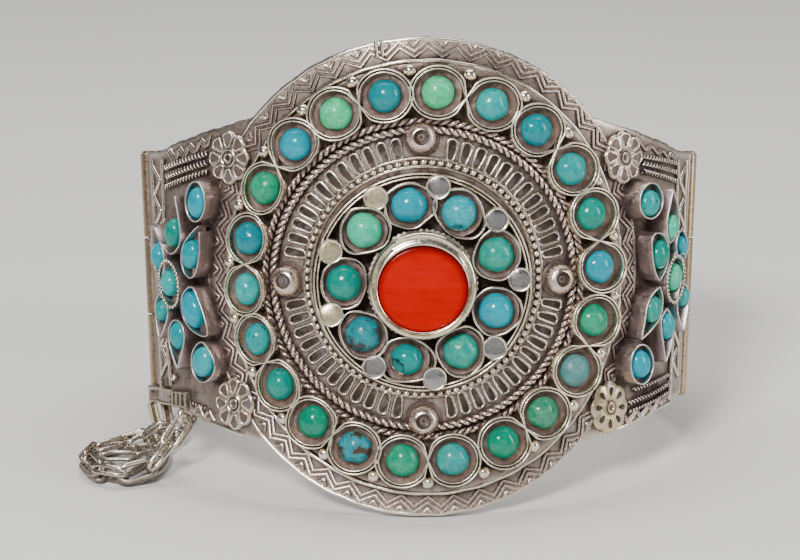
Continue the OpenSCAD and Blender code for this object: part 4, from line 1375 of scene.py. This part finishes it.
def cabochon(radius, base, top, dome, seed, chips=()):
    """A polished stone, slightly out of round. A chip (x, y, reach, depth) is broken out of its edge"""
    rng = np.random.default_rng(seed)
    turn, wide = rng.uniform(0, 6.28, 3), rng.uniform(0.006, 0.022, 3)
    ball = (radius ** 2 + dome ** 2) / (2 * dome)
    spans = np.linspace(math.asin(min(1, radius / ball)) if dome < radius else math.pi / 2, 0, 13)
    profile = [(0, base), (radius * 0.92, base), (radius, base + 0.12)]
    profile += [(ball * math.sin(t), top - ball + ball * math.cos(t)) for t in spans]
    detail = 72 if chips else 44
    rows = []
    for a in np.arange(detail) * 2 * math.pi / detail:
        k = 1.0
        for waves, much, start in zip((2, 3, 5), wide, turn):
            k += much * math.sin(waves * a + start)
        rows.append([(r * k * math.cos(a), r * k * math.sin(a), h) for r, h in profile])
    points, faces = skin(rows, loop=True, ring=False)
    for x, y, reach, depth in chips:
        away = np.hypot(points[:, 0] - x, points[:, 1] - y)
        ragged = reach * (1 + 0.08 * np.sin(points[:, 0] * 9) + 0.06 * np.cos(points[:, 1] * 11))
        cut = np.clip((ragged - away) / 0.12, 0, 1) * np.maximum(points[:, 2] - (top - depth), 0)
        points[:, 2] -= np.where(points[:, 2] > base + 0.2, cut, 0)
    return points, faces


def free_stone(outline, base, girdle, top):
    """A polished stone over any flat outline"""
    middle = outline.mean(0)
    rows = []
    for spot in outline:
        away = spot - middle
        row = [(*middle, base), (*(middle + away * 0.92), base), (*spot, base + 0.2), (*spot, girdle)]
        for k in (0.97, 0.91, 0.83, 0.73, 0.61, 0.48, 0.34, 0.18, 0.0):
            row.append((*(middle + away * k), girdle + (top - girdle) * math.sqrt(1 - k ** 2.2)))
        rows.append(row)
    return skin(rows, loop=True, ring=False)


def cell_floor(radius, edge, base, low, high, seed):
    """Floor of a cell, drawn up against its stone in an uneven collar"""
    rng = np.random.default_rng(seed)
    a = np.arange(64) * 2 * math.pi / 64
    waves = 0.14 * np.sin(7 * a + rng.uniform(0, 6)) * np.sin(3 * a + rng.uniform(0, 6))
    tops = high + waves + rng.uniform(-0.05, 0.05, len(a))
    rows = []
    for t, top in zip(a, tops):
        c, s = math.cos(t), math.sin(t)
        profile = (
            (radius - 0.1, base), (edge, base), (edge, low + 0.05), (edge - 0.25, low),
            (radius + 0.3, low + 0.04), (radius + 0.12, top - 0.08), (radius + 0.05, top),
            (radius - 0.1, top - 0.03),
        )
        rows.append([(r * c, r * s, h) for r, h in profile])
    return skin(rows, loop=True, ring=True)


def stone_slot(kind):
    """The record's slot for a kind of turquoise"""
    return "green_turquoise" if "green" in kind else "turquoise"


def fall(x):
    """How far the front's curve falls away from the square middle at a distance beside it"""
    return FRONT_R - math.sqrt(FRONT_R ** 2 - x ** 2)


collars = []
for i, (_, kind) in enumerate(OUTER):
    u, v = outer_spots[i]
    points, faces = cabochon(OUTER_R, 1.0, 3.45, 1.2, 10 + i)
    place = seated(u, v)
    slim = (1 - squeeze(u, v) * (0.9 if v < 2 else 0.1), 1, 1)
    shape = (points * slim, faces, turquoises[kind])
    made = shape_piece(f"outer_stone_{i + 1:02d}", [shape], place, sharp=60)
    told[made] = ("front", stone_slot(kind), [f"turquoise_ring_{i + 1:02d}"])
    points, faces = cell_floor(OUTER_R, 2.95, 0.6, 1.6, 1.85, 60 + i)
    collars.append((place(points * (1 - squeeze(u, v), 1, 1)), faces, floor_silver))

CHIPS = {
    "chipped_blue": [(-0.2, -2.35, 0.95, 1.6)],
    "broken_teal": [(-1.75, -1.2, 1.45, 2.2), (1.9, 0.6, 0.5, 1.2)],
}
for i, (angle, kind, _) in enumerate(INNER):
    x, v = around(INNER_RING, angle, INNER_MID)
    base = FIELD_T - fall(max(0, abs(x) - INNER_R)) + 0.1
    radius = INNER_R * (0.9 if kind == "broken_teal" else 1)
    body = cabochon(radius, base, INNER_TOP + 0.6, 1.3, 30 + i, CHIPS.get(kind, ()))
    made = shape_piece(f"inner_stone_{i + 1}", [(*moved(body, x, v), turquoises[kind])], square, sharp=60)
    told[made] = ("front", stone_slot(kind), [f"turquoise_inner_{i + 1}"])
    points, faces = cell_floor(radius, 2.86, 0.2, 1.85, 2.1, 90 + i)
    collars.append((square(points + (x, v, 0)), faces, floor_silver))
for name, rows, replaced in (
    ("left_wing_cabochons", LEFT_WING, "left_wing_stones"),
    ("right_wing_cabochons", RIGHT_WING, "right_wing_stones"),
):
    shapes = []
    for x, y, half_w, half_h, lean, point, top, kind in rows:
        outline = seen(oval((x, y), half_w, half_h, lean, point), top - 0.7)
        points, faces = free_stone(outline, 0.1, top - 1.1, top)
        shapes.append((band(points), faces, turquoises[kind]))
    told[shape_piece(name, shapes, sharp=60)] = ("front", "turquoise", [replaced])
shape_piece("cell_floors", collars, sharp=45)

# Hinges, the chain's eye, and the right hinge's pin
BORE_R, LEAF_ROOT, LEAF_LAP = 0.6, 0.75, 0.6
PIN_R, PIN_HEAD_R, PIN_PROUD = 0.5, 0.9, 0.06
# The chain's eye: how far round the cuff it sits, and the radius of its ring and of its wire
EYE_U, EYE_RING, EYE_WIRE = -35.4, 1.15, 0.36


def tube(z0, z1, r_out, r_in, count=40, soft=0.12):
    """A pipe with softened ends"""
    return lathe([
        (r_in, z0 + soft), (r_in + soft, z0), (r_out - soft, z0), (r_out, z0 + soft), (r_out, z1 - soft),
        (r_out - soft, z1), (r_in + soft, z1), (r_in, z1 - soft), (r_in, z0 + soft),
    ], count)


knuckles, back_knuckles = [], []
for side in (-1, 1):
    place = framed(barrel_frame(side))
    spans = (
        (KNUCKLE_UPPER + KNUCKLE_GAP / 2, BARREL_TOP),
        (COLLAR_TOP if side < 0 else BARREL_BOTTOM, KNUCKLE_LOWER - KNUCKLE_GAP / 2),
    )
    for z0, z1 in spans:
        points, faces = tube(z0, z1, BARREL_R, BORE_R)
        knuckles.append((place(points), faces, barrel_silver))
        points, faces = slab(-LEAF_END - LEAF_LAP, -LEAF_ROOT, -BARREL_IN, SHEET_T - BARREL_IN, z0, z1)
        knuckles.append((place(points), faces, sheet_silver))
    low, high = KNUCKLE_LOWER + KNUCKLE_GAP / 2, KNUCKLE_UPPER - KNUCKLE_GAP / 2
    points, faces = tube(low, high, BARREL_R, BORE_R)
    back_knuckles.append((place(points), faces, barrel_silver))
    turn = Matrix.Rotation(math.pi / 2 - HINGE_A, 4, "Z")
    points, faces = slab(LEAF_ROOT, LEAF_END + LEAF_LAP, -SHEET_T / 2, SHEET_T / 2, low, high)
    back_knuckles.append((framed(barrel_frame(side) @ turn)(points), faces, back_silver))
shape_piece("front_knuckles", knuckles)

rows = []
for a in np.arange(36) * math.pi / 18:
    rows.append([])
    for b in np.arange(12) * math.pi / 6:
        reach = EYE_RING + EYE_WIRE * math.cos(b)
        rows[-1].append((EYE_WIRE * math.sin(b), reach * math.sin(a), -reach * math.cos(a)))
points, faces = skin(rows, loop=True)
place = seated(EYE_U, -lookup(-EYE_U, WING_BOTTOM) - 0.8, -SHEET_T / 2)
shape_piece("chain_eye", [(place(points), faces, wire_silver)])


def pin(place, top, bottom, foot):
    """Hinge pin with a domed head, and a foot where both ends show"""
    parts = [lathe([(0, bottom), (PIN_R, bottom), (PIN_R, top), (0, top)], 24)]
    heads = [(top - 0.01, 1)] + ([(bottom + 0.01, -1)] if foot else [])
    for z, way in heads:
        dome = [(PIN_HEAD_R, z), (PIN_HEAD_R, z + way * 0.12), (0.72, z + way * 0.26), (0, z + way * 0.31)]
        parts.append(lathe([(0, z), *dome], 32))
    return [(place(points), faces, barrel_silver) for points, faces in parts]


right_pin = pin(framed(barrel_frame(1)), BARREL_TOP + PIN_PROUD, BARREL_BOTTOM - PIN_PROUD, True)
told[shape_piece("right_hinge_pin", right_pin)] = ("front", "worn_silver", ["hinge_pin"])

# The clasp: its pin, a collar with a drum and ridges, two flat legs and a bar. Its spots of the picture are
# the ends of the collar's raised strips, the rib, the ridges, the legs (start, end, width) and the bar
RIM_SPOTS, RIB_SPOT = ((186, 395), (172, 395)), (160.5, 384)
RIDGE_SPOTS = ((172.5, 395), (176.5, 395), (180.8, 395), (185.2, 395))
LEGS = (((152.0, 402), (158.6, 430.5), 1.15), ((165.4, 401.5), (170.6, 431), 1.3))
BAR_SPOTS = ((154.5, 431.5), (174.5, 430.5))
COLLAR_HIGH = COLLAR_TOP - 0.15
# Profiles of the drum and of its two rims
DRUM = (
    (0.3, COLLAR_BOTTOM + 0.1), (1.34, COLLAR_BOTTOM + 0.1), (1.4, COLLAR_BOTTOM + 0.5),
    (1.44, (COLLAR_BOTTOM + COLLAR_HIGH) / 2), (1.4, COLLAR_HIGH - 0.6), (1.3, COLLAR_HIGH - 0.3),
    (0.3, COLLAR_HIGH - 0.3),
)
LOWER_RIM = (
    (0.3, COLLAR_BOTTOM), (1.4, COLLAR_BOTTOM), (1.48, COLLAR_BOTTOM + 0.08), (1.48, COLLAR_BOTTOM + 0.26),
    (1.36, COLLAR_BOTTOM + 0.34), (0.3, COLLAR_BOTTOM + 0.34),
)
UPPER_RIM = (
    (0.3, COLLAR_HIGH - 0.62), (1.36, COLLAR_HIGH - 0.62), (1.5, COLLAR_HIGH - 0.5),
    (1.52, COLLAR_HIGH - 0.16), (1.42, COLLAR_HIGH), (0.3, COLLAR_HIGH),
)


def side_block(h0, h1, u0, u1, z0, z1, steps=12):
    """A softened block that follows the left side of the cuff"""
    rows = []
    for i, u in enumerate(np.linspace(u0, u1, steps)):
        s = 0.12 if 0 < i < steps - 1 else 0.22
        rows.append([
            (-u, z0 + s, h0), (-u, z1 - s, h0), (-u, z1, h0 + s), (-u, z1, h1 - s),
            (-u, z1 - s, h1), (-u, z0 + s, h1), (-u, z0, h1 - s), (-u, z0, h0 + s),
        ])
    points, faces = skin(rows)
    return band(points), faces


left_barrel = framed(barrel_frame(-1))
clasp = pin(left_barrel, BARREL_TOP + PIN_PROUD, COLLAR_BOTTOM + PIN_R, False)
reach, past = -seen(RIM_SPOTS, 0.8)[:, 0]
block = side_block(-1.5, 0.2, COLLAR_U + 0.15, HINGE_S, COLLAR_BOTTOM, COLLAR_HIGH)
clasp.append((*block, cell_silver))
clasp.append((*side_block(0.1, 0.72, reach, past, COLLAR_BOTTOM, COLLAR_HIGH), bezel_silver))
for profile, metal in ((DRUM, cell_silver), (LOWER_RIM, strip_silver), (UPPER_RIM, strip_silver)):
    points, faces = lathe(profile, 48)
    clasp.append((left_barrel(points), faces, metal))
u = -seen([RIB_SPOT], 0.8)[0][0]
rib = side_block(0.3, 0.8, u - 0.4, u + 0.4, COLLAR_HIGH - 0.1, COLLAR_HIGH + 1.3, 3)
clasp.append((*rib, bezel_silver))
for u, _ in -seen(RIDGE_SPOTS, 0.9):
    clasp.append((*side_block(0.5, 1.0, u - 0.16, u + 0.16, COLLAR_BOTTOM, COLLAR_HIGH, 3), bright_silver))
for low in (COLLAR_BOTTOM, COLLAR_HIGH - 0.4):
    clasp.append((*side_block(0.5, 0.95, reach, past, low, low + 0.4), bright_silver))
    clasp.append((*side_block(0.0, 0.45, past - 0.2, HINGE_S - 0.8, low, low + 0.4), strip_silver))


def facing(start, end, y_start, y_end):
    """A place whose Y runs from one spot of the picture to another, with Z towards the camera"""
    a, b = at_depth(start, y_start), at_depth(end, y_end)
    along = (b - a) / np.linalg.norm(b - a)
    side = np.cross(along, -np.array(look))
    side /= np.linalg.norm(side)
    axes = np.array((side, along, np.cross(side, along)))
    return lambda points: a + np.asarray(points, float) @ axes, np.linalg.norm(b - a)


drum_y = (barrel_frame(-1) @ Vector((0, 0, COLLAR_BOTTOM))).y
bar_y = drum_y - 0.6
for start, end, wide in LEGS:
    place, long = facing(start, end, drum_y - 0.3, bar_y)
    half = wide / 2
    # Between a leg's cream rails lies a dark strip: painted shade of the gap
    for x0, x1, z0, z1, metal in (
        (-half, half, -0.3, 0.1, hollow_shade_silver),
        (-half - 0.03, -half + 0.42, -0.2, 0.3, cream_silver),
        (half - 0.42, half + 0.03, -0.2, 0.3, cream_silver),
    ):
        points, faces = slab(x0, x1, 0, long, z0, z1, 0.08)
        clasp.append((place(points), faces, metal))
place, long = facing(*BAR_SPOTS, bar_y, bar_y)
points, faces = lathe([(0, 0), (0.34, 0), (0.42, 0.1), (0.42, long - 0.1), (0.34, long), (0, long)], 24)
clasp.append((place(points[:, [0, 2, 1]]), faces, bright_silver))
told[shape_piece("clasp", clasp, wobble=0.02)] = ("front", "silver", ["clasp_pin"])

# The safety chain: links of two loops along the source's joints, each lifted clear of the table
LOOP_LONG, LINK_LIFT, LINK_SPREAD = 5.0, 0.22, 24
spots, turns, stretches = [], [], []


def add_loop(a, b, roll, extra):
    """One loop of the chain from joint to joint"""
    along = (b - a).normalized()
    flat = math.hypot(along.x, along.y)
    turn = Matrix.Rotation(math.atan2(along.y, along.x), 3, "Z")
    turn = turn @ Matrix.Rotation(-math.atan2(along.z, flat), 3, "Y")
    turn = turn @ Matrix.Rotation(math.radians(roll), 3, "X") @ Matrix.Rotation(-math.pi / 2, 3, "Z")
    spots.append(tuple((a + b) / 2 + Vector((0, 0, LINK_LIFT))))
    turns.append(tuple(turn.to_euler()))
    stretches.append((1, ((b - a).length + extra) / LOOP_LONG, 1))


for i, roll in enumerate(LINK_ROLLS):
    a, b = Vector(LINK_JOINTS[i]), Vector(LINK_JOINTS[i + 1])
    for turn in (-LINK_SPREAD, LINK_SPREAD):
        add_loop(a, b, roll + turn, 2 * LINK_WIRE + LINK_PLAY)
sizes = {"Long": LOOP_LONG, "Wide": LINK_W, "Wire": 0.3, "Steps": 32, "Sides": 10}
chain = grow("chain_links", LOOPS, spots, sizes, wire_silver, lying, turn=turns, stretch=stretches)
told[chain] = ("front", "silver", ["safety_chain"])


def laid(spots):
    """Spots of the picture (across, down, height over the table) as points of the chain's own frame"""
    spots = np.asarray(spots, float)
    way = rays(spots[:, :2])
    c, s = math.cos(TILT), math.sin(TILT)
    rise, start = way[:, 2] * c - way[:, 1] * s, VIEWPOINT[2] * c - VIEWPOINT[1] * s + LIFT
    return leaned(VIEWPOINT + way * ((spots[:, 2] - start) / rise)[:, None])


# Strands of the chain's bunch: girth, and a closed loop of spots of the picture (across, down, height)
BUNCH = (
    (0.4, (
        (100.5, 463, 2.0), (110, 470, 1.4), (116, 479, 0.8), (125, 483.6, 0.45), (136, 482, 0.45),
        (150, 474, 0.5), (161, 468.5, 0.8), (167, 461, 1.4), (167, 452, 2.4), (161, 449.5, 3.0),
        (157, 455, 2.8), (151, 462.5, 2.4), (141, 470, 2.0), (129, 476, 1.7), (121, 472, 1.9),
        (111, 463, 2.2),
    )),
    (0.32, (
        (121, 473, 1.8), (127, 465, 2.4), (137, 457, 2.8), (147, 451, 3.2), (153, 450.5, 3.4),
        (153, 456, 3.1), (146, 461, 2.8), (137, 467.5, 2.4), (128, 476, 1.8), (123, 477, 1.6),
    )),
    (0.34, (
        (149, 427, 7.3), (147, 435, 6.0), (149.5, 446, 4.2), (155, 457, 2.8), (160, 450, 3.8),
        (161, 441, 5.3), (158, 432, 6.8), (154, 426.5, 7.4),
    )),
    (0.34, (
        (171, 430, 7.0), (170, 439, 5.5), (165, 450, 3.8), (160, 457.5, 2.8), (156.5, 451, 3.6),
        (160, 441, 5.1), (165, 432, 6.6),
    )),
    (0.27, (
        (99, 448, 3.0), (115, 443, 3.2), (131, 444, 3.3), (146, 450, 3.2), (140, 455, 2.8),
        (128, 452, 2.8), (112, 452, 2.6), (101, 455, 2.4),
    )),
    (0.27, (
        (96, 452, 2.4), (108, 447, 2.8), (124, 446, 3.0), (138, 450, 3.0), (133, 460, 2.4),
        (118, 459, 2.2), (104, 460, 2.0),
    )),
    (0.3, (
        (88, 455, 1.8), (93, 447, 2.4), (101, 446.5, 2.6), (100, 456, 2.2), (99, 466, 1.5),
        (91, 469, 1.0), (86.5, 463, 1.2),
    )),
    (0.26, (
        (127, 443, 3.4), (130, 435, 5.0), (138, 430, 6.4), (146, 430, 6.8), (149, 437, 5.8),
        (142, 434, 6.0), (133, 440, 4.4),
    )),
    (0.3, (
        (88, 470, 0.5), (92, 478, 0.35), (100, 481, 0.35), (106, 477, 0.5), (104, 470, 0.9),
        (95, 466, 1.1),
    )),
    (0.26, (
        (92, 471, 0.5), (96, 476, 0.35), (101, 476, 0.4), (101, 471, 0.7), (96, 469, 0.8),
    )),
)
# The girth in that list that leaves a wire as thick as it is given. A height of LOWEST in it lies
# STRAND_LIFT over the table, and one that is HEIGHTS higher is level with the clasp's bar
STRAND_GIRTH, STRAND_LIFT, LOWEST, HEIGHTS = 0.27, 0.65, 0.4, 7.0
HANG_SPOT, COIL_SPOT = (154, 426), (177, 427)
climb = leaned([at_depth(HANG_SPOT, bar_y)])[0][2] - STRAND_LIFT
bunch = []
for girth, spots in BUNCH:
    loop = laid([(x, y, STRAND_LIFT + (z - LOWEST) * climb / HEIGHTS) for x, y, z in spots])
    bunch.append((softened(loop, True, False), True, girth / STRAND_GIRTH))
coil = []
for t in np.linspace(0, 4.5, 80):
    c, s = math.cos(2 * math.pi * t), math.sin(2 * math.pi * t)
    spot = (COIL_SPOT[0] + 5.0 * c, COIL_SPOT[1] + 3.6 * t + 1.3 * s)
    coil.append(at_depth(spot, bar_y + 0.6 * s))
bunch.append((leaned(coil), False, 0.9))
strands = plain_wires("chain_strands", bunch, 0.3, 0.3, 10, wire_silver, lying)


# The back half is a plain band with softened edges


def back_band():
    """Sections of the back band, from the right barrel round to the left"""
    start = LEAF_END / BACK_R
    angles = np.linspace(start, math.pi / 2, 40)
    spots = [(BACK_FLAT, math.cos(a), math.sin(a)) for a in angles]
    spots += [(-BACK_FLAT, -math.cos(a), math.sin(a)) for a in angles[::-1]]
    edge, between = 0.15, (-8, 0, 8)
    low, high = BARREL_BOTTOM + edge, BARREL_TOP - edge
    # Height and depth of a section's points, first up the outside and then down the inside
    section = [(z, 0) for z in (low, low + SHEET_T, *between, high - SHEET_T, high)]
    section += [(BARREL_TOP, edge), (BARREL_TOP, SHEET_T - edge)]
    section += [(z, SHEET_T) for z in (high, *between[::-1], low)]
    section += [(BARREL_BOTTOM, SHEET_T - edge), (BARREL_BOTTOM, edge)]
    sections = []
    for mid, c, s in spots:
        radii = [(BACK_R + FLARE * z - depth, z) for z, depth in section]
        sections.append([(mid + radius * c, BARREL_Y + radius * s, z) for radius, z in radii])
    return skin(sections)


back = shape_piece("back_band", [(*back_band(), back_silver), *back_knuckles], sharp=40)
told[back] = ("back", "worn_silver", ["back_panel"])


# Recess darkening, which is tarnish and painted shade, and wear with a painted highlight, from how deep each
# point lies among what is round it
GRID, U_SPAN, V_SPAN, SHEET_END, BEYOND = 0.1, 47.0, 33.0, 44.4, -2.5


def read(mesh, what="vertices", key="co", width=3, kind=np.float32):
    """Numbers of a mesh, as rows"""
    data = getattr(mesh, what)
    values = np.empty(len(data) * width, kind)
    data.foreach_get(key, values)
    return values.reshape(-1, width)


def relief_map():
    """Height of the front's face over a flat grid"""
    u = np.arange(-U_SPAN, U_SPAN, GRID)
    v = np.arange(-V_SPAN, V_SPAN, GRID)
    uu, vv = np.meshgrid(u, v, indexing="ij")
    high = np.full(uu.shape, BEYOND)
    tops = np.array([top_edge(min(abs(x), SHEET_END)) for x in u])[:, None]
    lows = np.array([low_edge(max(-SHEET_END, min(x, SHEET_END))) for x in u])[:, None]
    high[(vv < tops) & (vv > lows) & (np.abs(uu) < HINGE_S)] = 0
    high[((uu - FIELD_U) / FIELD_W) ** 2 + ((vv - DISC_MID) / FIELD_H) ** 2 < 1] = FIELD_T
    for obj in pieces:
        if obj in (front, field, back, chain, strands):
            continue
        co = read(obj.data).astype(float)
        obj.data.calc_loop_triangles()
        corners = co[read(obj.data, "loop_triangles", "vertices", 3, np.int32)]
        samples = [corners.mean(1)]
        for i in range(3):
            samples += [corners[:, i], (corners[:, i] + corners[:, (i + 1) % 3]) / 2]
        pu, pv, ph = unbent(np.vstack(samples))
        i = np.round((pu + U_SPAN) / GRID).astype(int)
        j = np.round((pv + V_SPAN) / GRID).astype(int)
        good = (i >= 0) & (i < high.shape[0]) & (j >= 0) & (j < high.shape[1]) & (ph > -2) & (ph < 8)
        np.maximum.at(high, (i[good], j[good]), ph[good])
    return high


def blurred(grid, reach):
    """A grid softened over a reach in millimetres"""
    fi = np.fft.fftfreq(grid.shape[0], GRID)[:, None]
    fj = np.fft.fftfreq(grid.shape[1], GRID)[None, :]
    softness = np.exp(-2 * (math.pi * reach) ** 2 * (fi ** 2 + fj ** 2))
    return np.real(np.fft.ifft2(np.fft.fft2(grid) * softness))


# Brown stains on the sheet (place in the picture, reach, strength)
STAINS = (
    ((641, 376), 3.4, 0.55), ((652, 392), 3.0, 0.45), ((636, 404), 2.4, 0.35), ((634, 224), 2.6, 0.6),
    ((640, 246), 2.2, 0.5), ((187, 368), 2.2, 0.5), ((199, 216), 2.4, 0.35), ((215, 300), 2.6, 0.35),
    ((166, 205), 2.0, 0.3), ((624, 300), 2.4, 0.3),
)
# Pieces with an even darkening, tarnish and painted shade, and no wear, pieces with a weaker one, and how
# high strips' crowns are worn
EVEN_RECESS = {"rosette_hollows": 0.35, "wing_floors": 0.75, "wing_rope_cores": 0.8, "clasp": 0.16}
WEAKER_RECESS = {"rosette_plates": 0.35, "cell_floors": 0.6, "herringbone_ropes": 0.6}
CROWNS = {
    "outer_strips": 3.0, "outer_inner_strips": 2.8, "wing_leaves": 3.0, "wing_bezels": 3.4,
    "beaded_ovals": 3.0,
}


def ground_recess(obj, near, mid, wide, u, v, h):
    """How deep each point of a piece lies among what is round it, from 0 to 1; it darkens the point with
    tarnish and painted shade
    """
    # The opening patches get darker further out: painted shade
    if obj.name == "filigree_openings":
        return np.clip((np.hypot(u, v + 0.2) - 15.2) / 1.8, 0.05, 1)
    if obj.name in CROWNS:
        return np.clip((CROWNS[obj.name] - 0.2 - h) / 2.4, 0, 1) * 0.5
    if obj.name in EVEN_RECESS:
        return np.full(len(h), EVEN_RECESS[obj.name])
    # Points lower than what is round them are darkened: tarnish and painted shade
    tarnish_and_shade = np.clip((near - h) / 0.22, 0, 1) * 0.35
    tarnish_and_shade = tarnish_and_shade + np.clip((mid - h) / 0.55, 0, 1) * 0.4
    tarnish_and_shade = np.clip(tarnish_and_shade + np.clip((wide - h) / 1.3, 0, 1) * 0.5, 0, 1)
    tarnish_and_shade = np.where(h < -1.0, 0.25, tarnish_and_shade)
    if obj is front:
        for spot, reach, much in STAINS:
            su, sv = seen((spot,), 0.2)[0]
            stain = np.exp(-((u - su) ** 2 + (v - sv) ** 2) / reach ** 2)
            tarnish_and_shade = tarnish_and_shade + much * stain * (h > -0.3)
        tarnish_and_shade = np.clip(tarnish_and_shade, 0, 1)
    return tarnish_and_shade * WEAKER_RECESS.get(obj.name, 1)


def mark_shade_and_wear():
    """Writes each piece's darkening, tarnish and painted shade, and its wear with a painted highlight, then
    stands the piece up
    """
    high = relief_map()
    near, mid, wide = blurred(high, 0.22), blurred(high, 0.5), blurred(high, 1.3)
    for obj in pieces:
        mesh = obj.data
        co = read(mesh).astype(float)
        u, v, h = unbent(co)
        i = np.clip(np.round((u + U_SPAN) / GRID).astype(int), 0, high.shape[0] - 1)
        j = np.clip(np.round((v + V_SPAN) / GRID).astype(int), 0, high.shape[1] - 1)
        if obj is back:
            tarnish_and_shade, wear_and_highlight = np.full(len(co), 0.2), np.full(len(co), 0.4)
        elif obj in (chain, strands):
            # The chain is painted darker low down by the table and lighter higher up: painted shade and
            # painted light
            height = standing(co)[:, 2] * 1000
            tarnish_and_shade, wear_and_highlight = np.clip(0.75 - height / 4, 0.05, 0.7), np.clip(height / 5, 0, 0.8)
        else:
            tarnish_and_shade = ground_recess(obj, near[i, j], mid[i, j], wide[i, j], u, v, h)
            # Points above what is round them are lightened: wear and a painted highlight
            wear_and_highlight = np.clip((h - mid[i, j]) / 0.35, 0, 1)
            if obj.name in EVEN_RECESS:
                wear_and_highlight[:] = 0
            if obj.name in CROWNS:
                wear_and_highlight = np.clip((h - CROWNS[obj.name] + 0.25) / 0.2, 0, 1) * 0.8
        write_marks(mesh, "tarnish_and_shade", tarnish_and_shade)
        write_marks(mesh, "wear_and_highlight", wear_and_highlight)
        mesh.vertices.foreach_set("co", standing(co).astype(np.float32).ravel())
        mesh.update()


mark_shade_and_wear()

for obj in pieces:
    body, slot, replaced = told.get(obj, ("front", "silver", []))
    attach(obj, body)
    if replaced:
        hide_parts(*replaced)

# Table, light and camera
floor_shape = [(-0.9, -0.5, 0), (0.9, -0.5, 0), (0.9, 0.9, 0), (-0.9, 0.9, 0)]
mesh = bpy.data.meshes.new("floor")
mesh.from_pydata(floor_shape, [], [(0, 1, 2, 3)])
floor = bpy.data.objects.new("floor", mesh)
bpy.context.scene.collection.objects.link(floor)
paper = bpy.data.materials.new("pale_paper")
paper.use_nodes = True
paper_shader = paper.node_tree.nodes["Principled BSDF"]
paper_tree = paper.node_tree
grain = noise(paper_tree, node(paper_tree, "ShaderNodeTexCoord").outputs["Object"], 900.0, 4.0)
paper_tree.links.new(spread(paper_tree, grain, 0.3, 0.7, 0.72, 0.8), paper_shader.inputs["Roughness"])
paper_shader.inputs["Base Color"].default_value = (0.72, 0.71, 0.69, 1)
floor.data.materials.append(paper)

world = bpy.data.worlds.new("studio")
bpy.context.scene.world = world
world.use_nodes = True
world.node_tree.nodes["Background"].inputs[0].default_value = (0.80, 0.80, 0.80, 1)
world.node_tree.nodes["Background"].inputs[1].default_value = 0.17


def softbox(name, spot, aim, size, power):
    """A soft light that is aimed at a spot"""
    light = bpy.data.lights.new(name, "AREA")
    light.shape = "RECTANGLE"
    light.size, light.size_y = size
    light.energy = power
    obj = bpy.data.objects.new(name, light)
    obj.location = spot
    obj.rotation_mode = "QUATERNION"
    obj.rotation_quaternion = (Vector(aim) - Vector(spot)).to_track_quat("-Z", "Y")
    bpy.context.scene.collection.objects.link(obj)


centre = (0.0036, -0.018, 0.03)
softbox("key", (-0.16, -0.42, 0.40), centre, (0.14, 0.12), 3.8)
softbox("front", (0.10, -0.75, 0.22), centre, (0.7, 0.35), 0.5)
softbox("right", (0.45, -0.15, 0.2), centre, (0.1, 0.3), 1.0)
softbox("above", (0.0, 0.12, 0.5), centre, (0.5, 0.2), 2.2)

footing = Vector((-FOOTPRINT[0], -FOOTPRINT[1], LIFT)) / 1000
stand = Matrix.Translation(footing) @ Matrix.Rotation(-TILT, 4, "X")
camera = bpy.data.objects.new("camera", bpy.data.cameras.new("camera"))
own = Matrix((across, upward, -look)).transposed().to_4x4()
own.translation = look * -DISTANCE / 1000
camera.matrix_world = stand @ own
camera.data.sensor_width = 36
camera.data.lens = 36 * (DISTANCE / PIXEL) / FRAME_PX[0]
camera.data.shift_x = (FRAME_PX[0] / 2 - CENTRE_PX[0]) / FRAME_PX[0]
camera.data.shift_y = (CENTRE_PX[1] - FRAME_PX[1] / 2) / FRAME_PX[0]
camera.data.clip_start, camera.data.clip_end = 0.01, 10
bpy.context.scene.collection.objects.link(camera)
bpy.context.scene.camera = camera
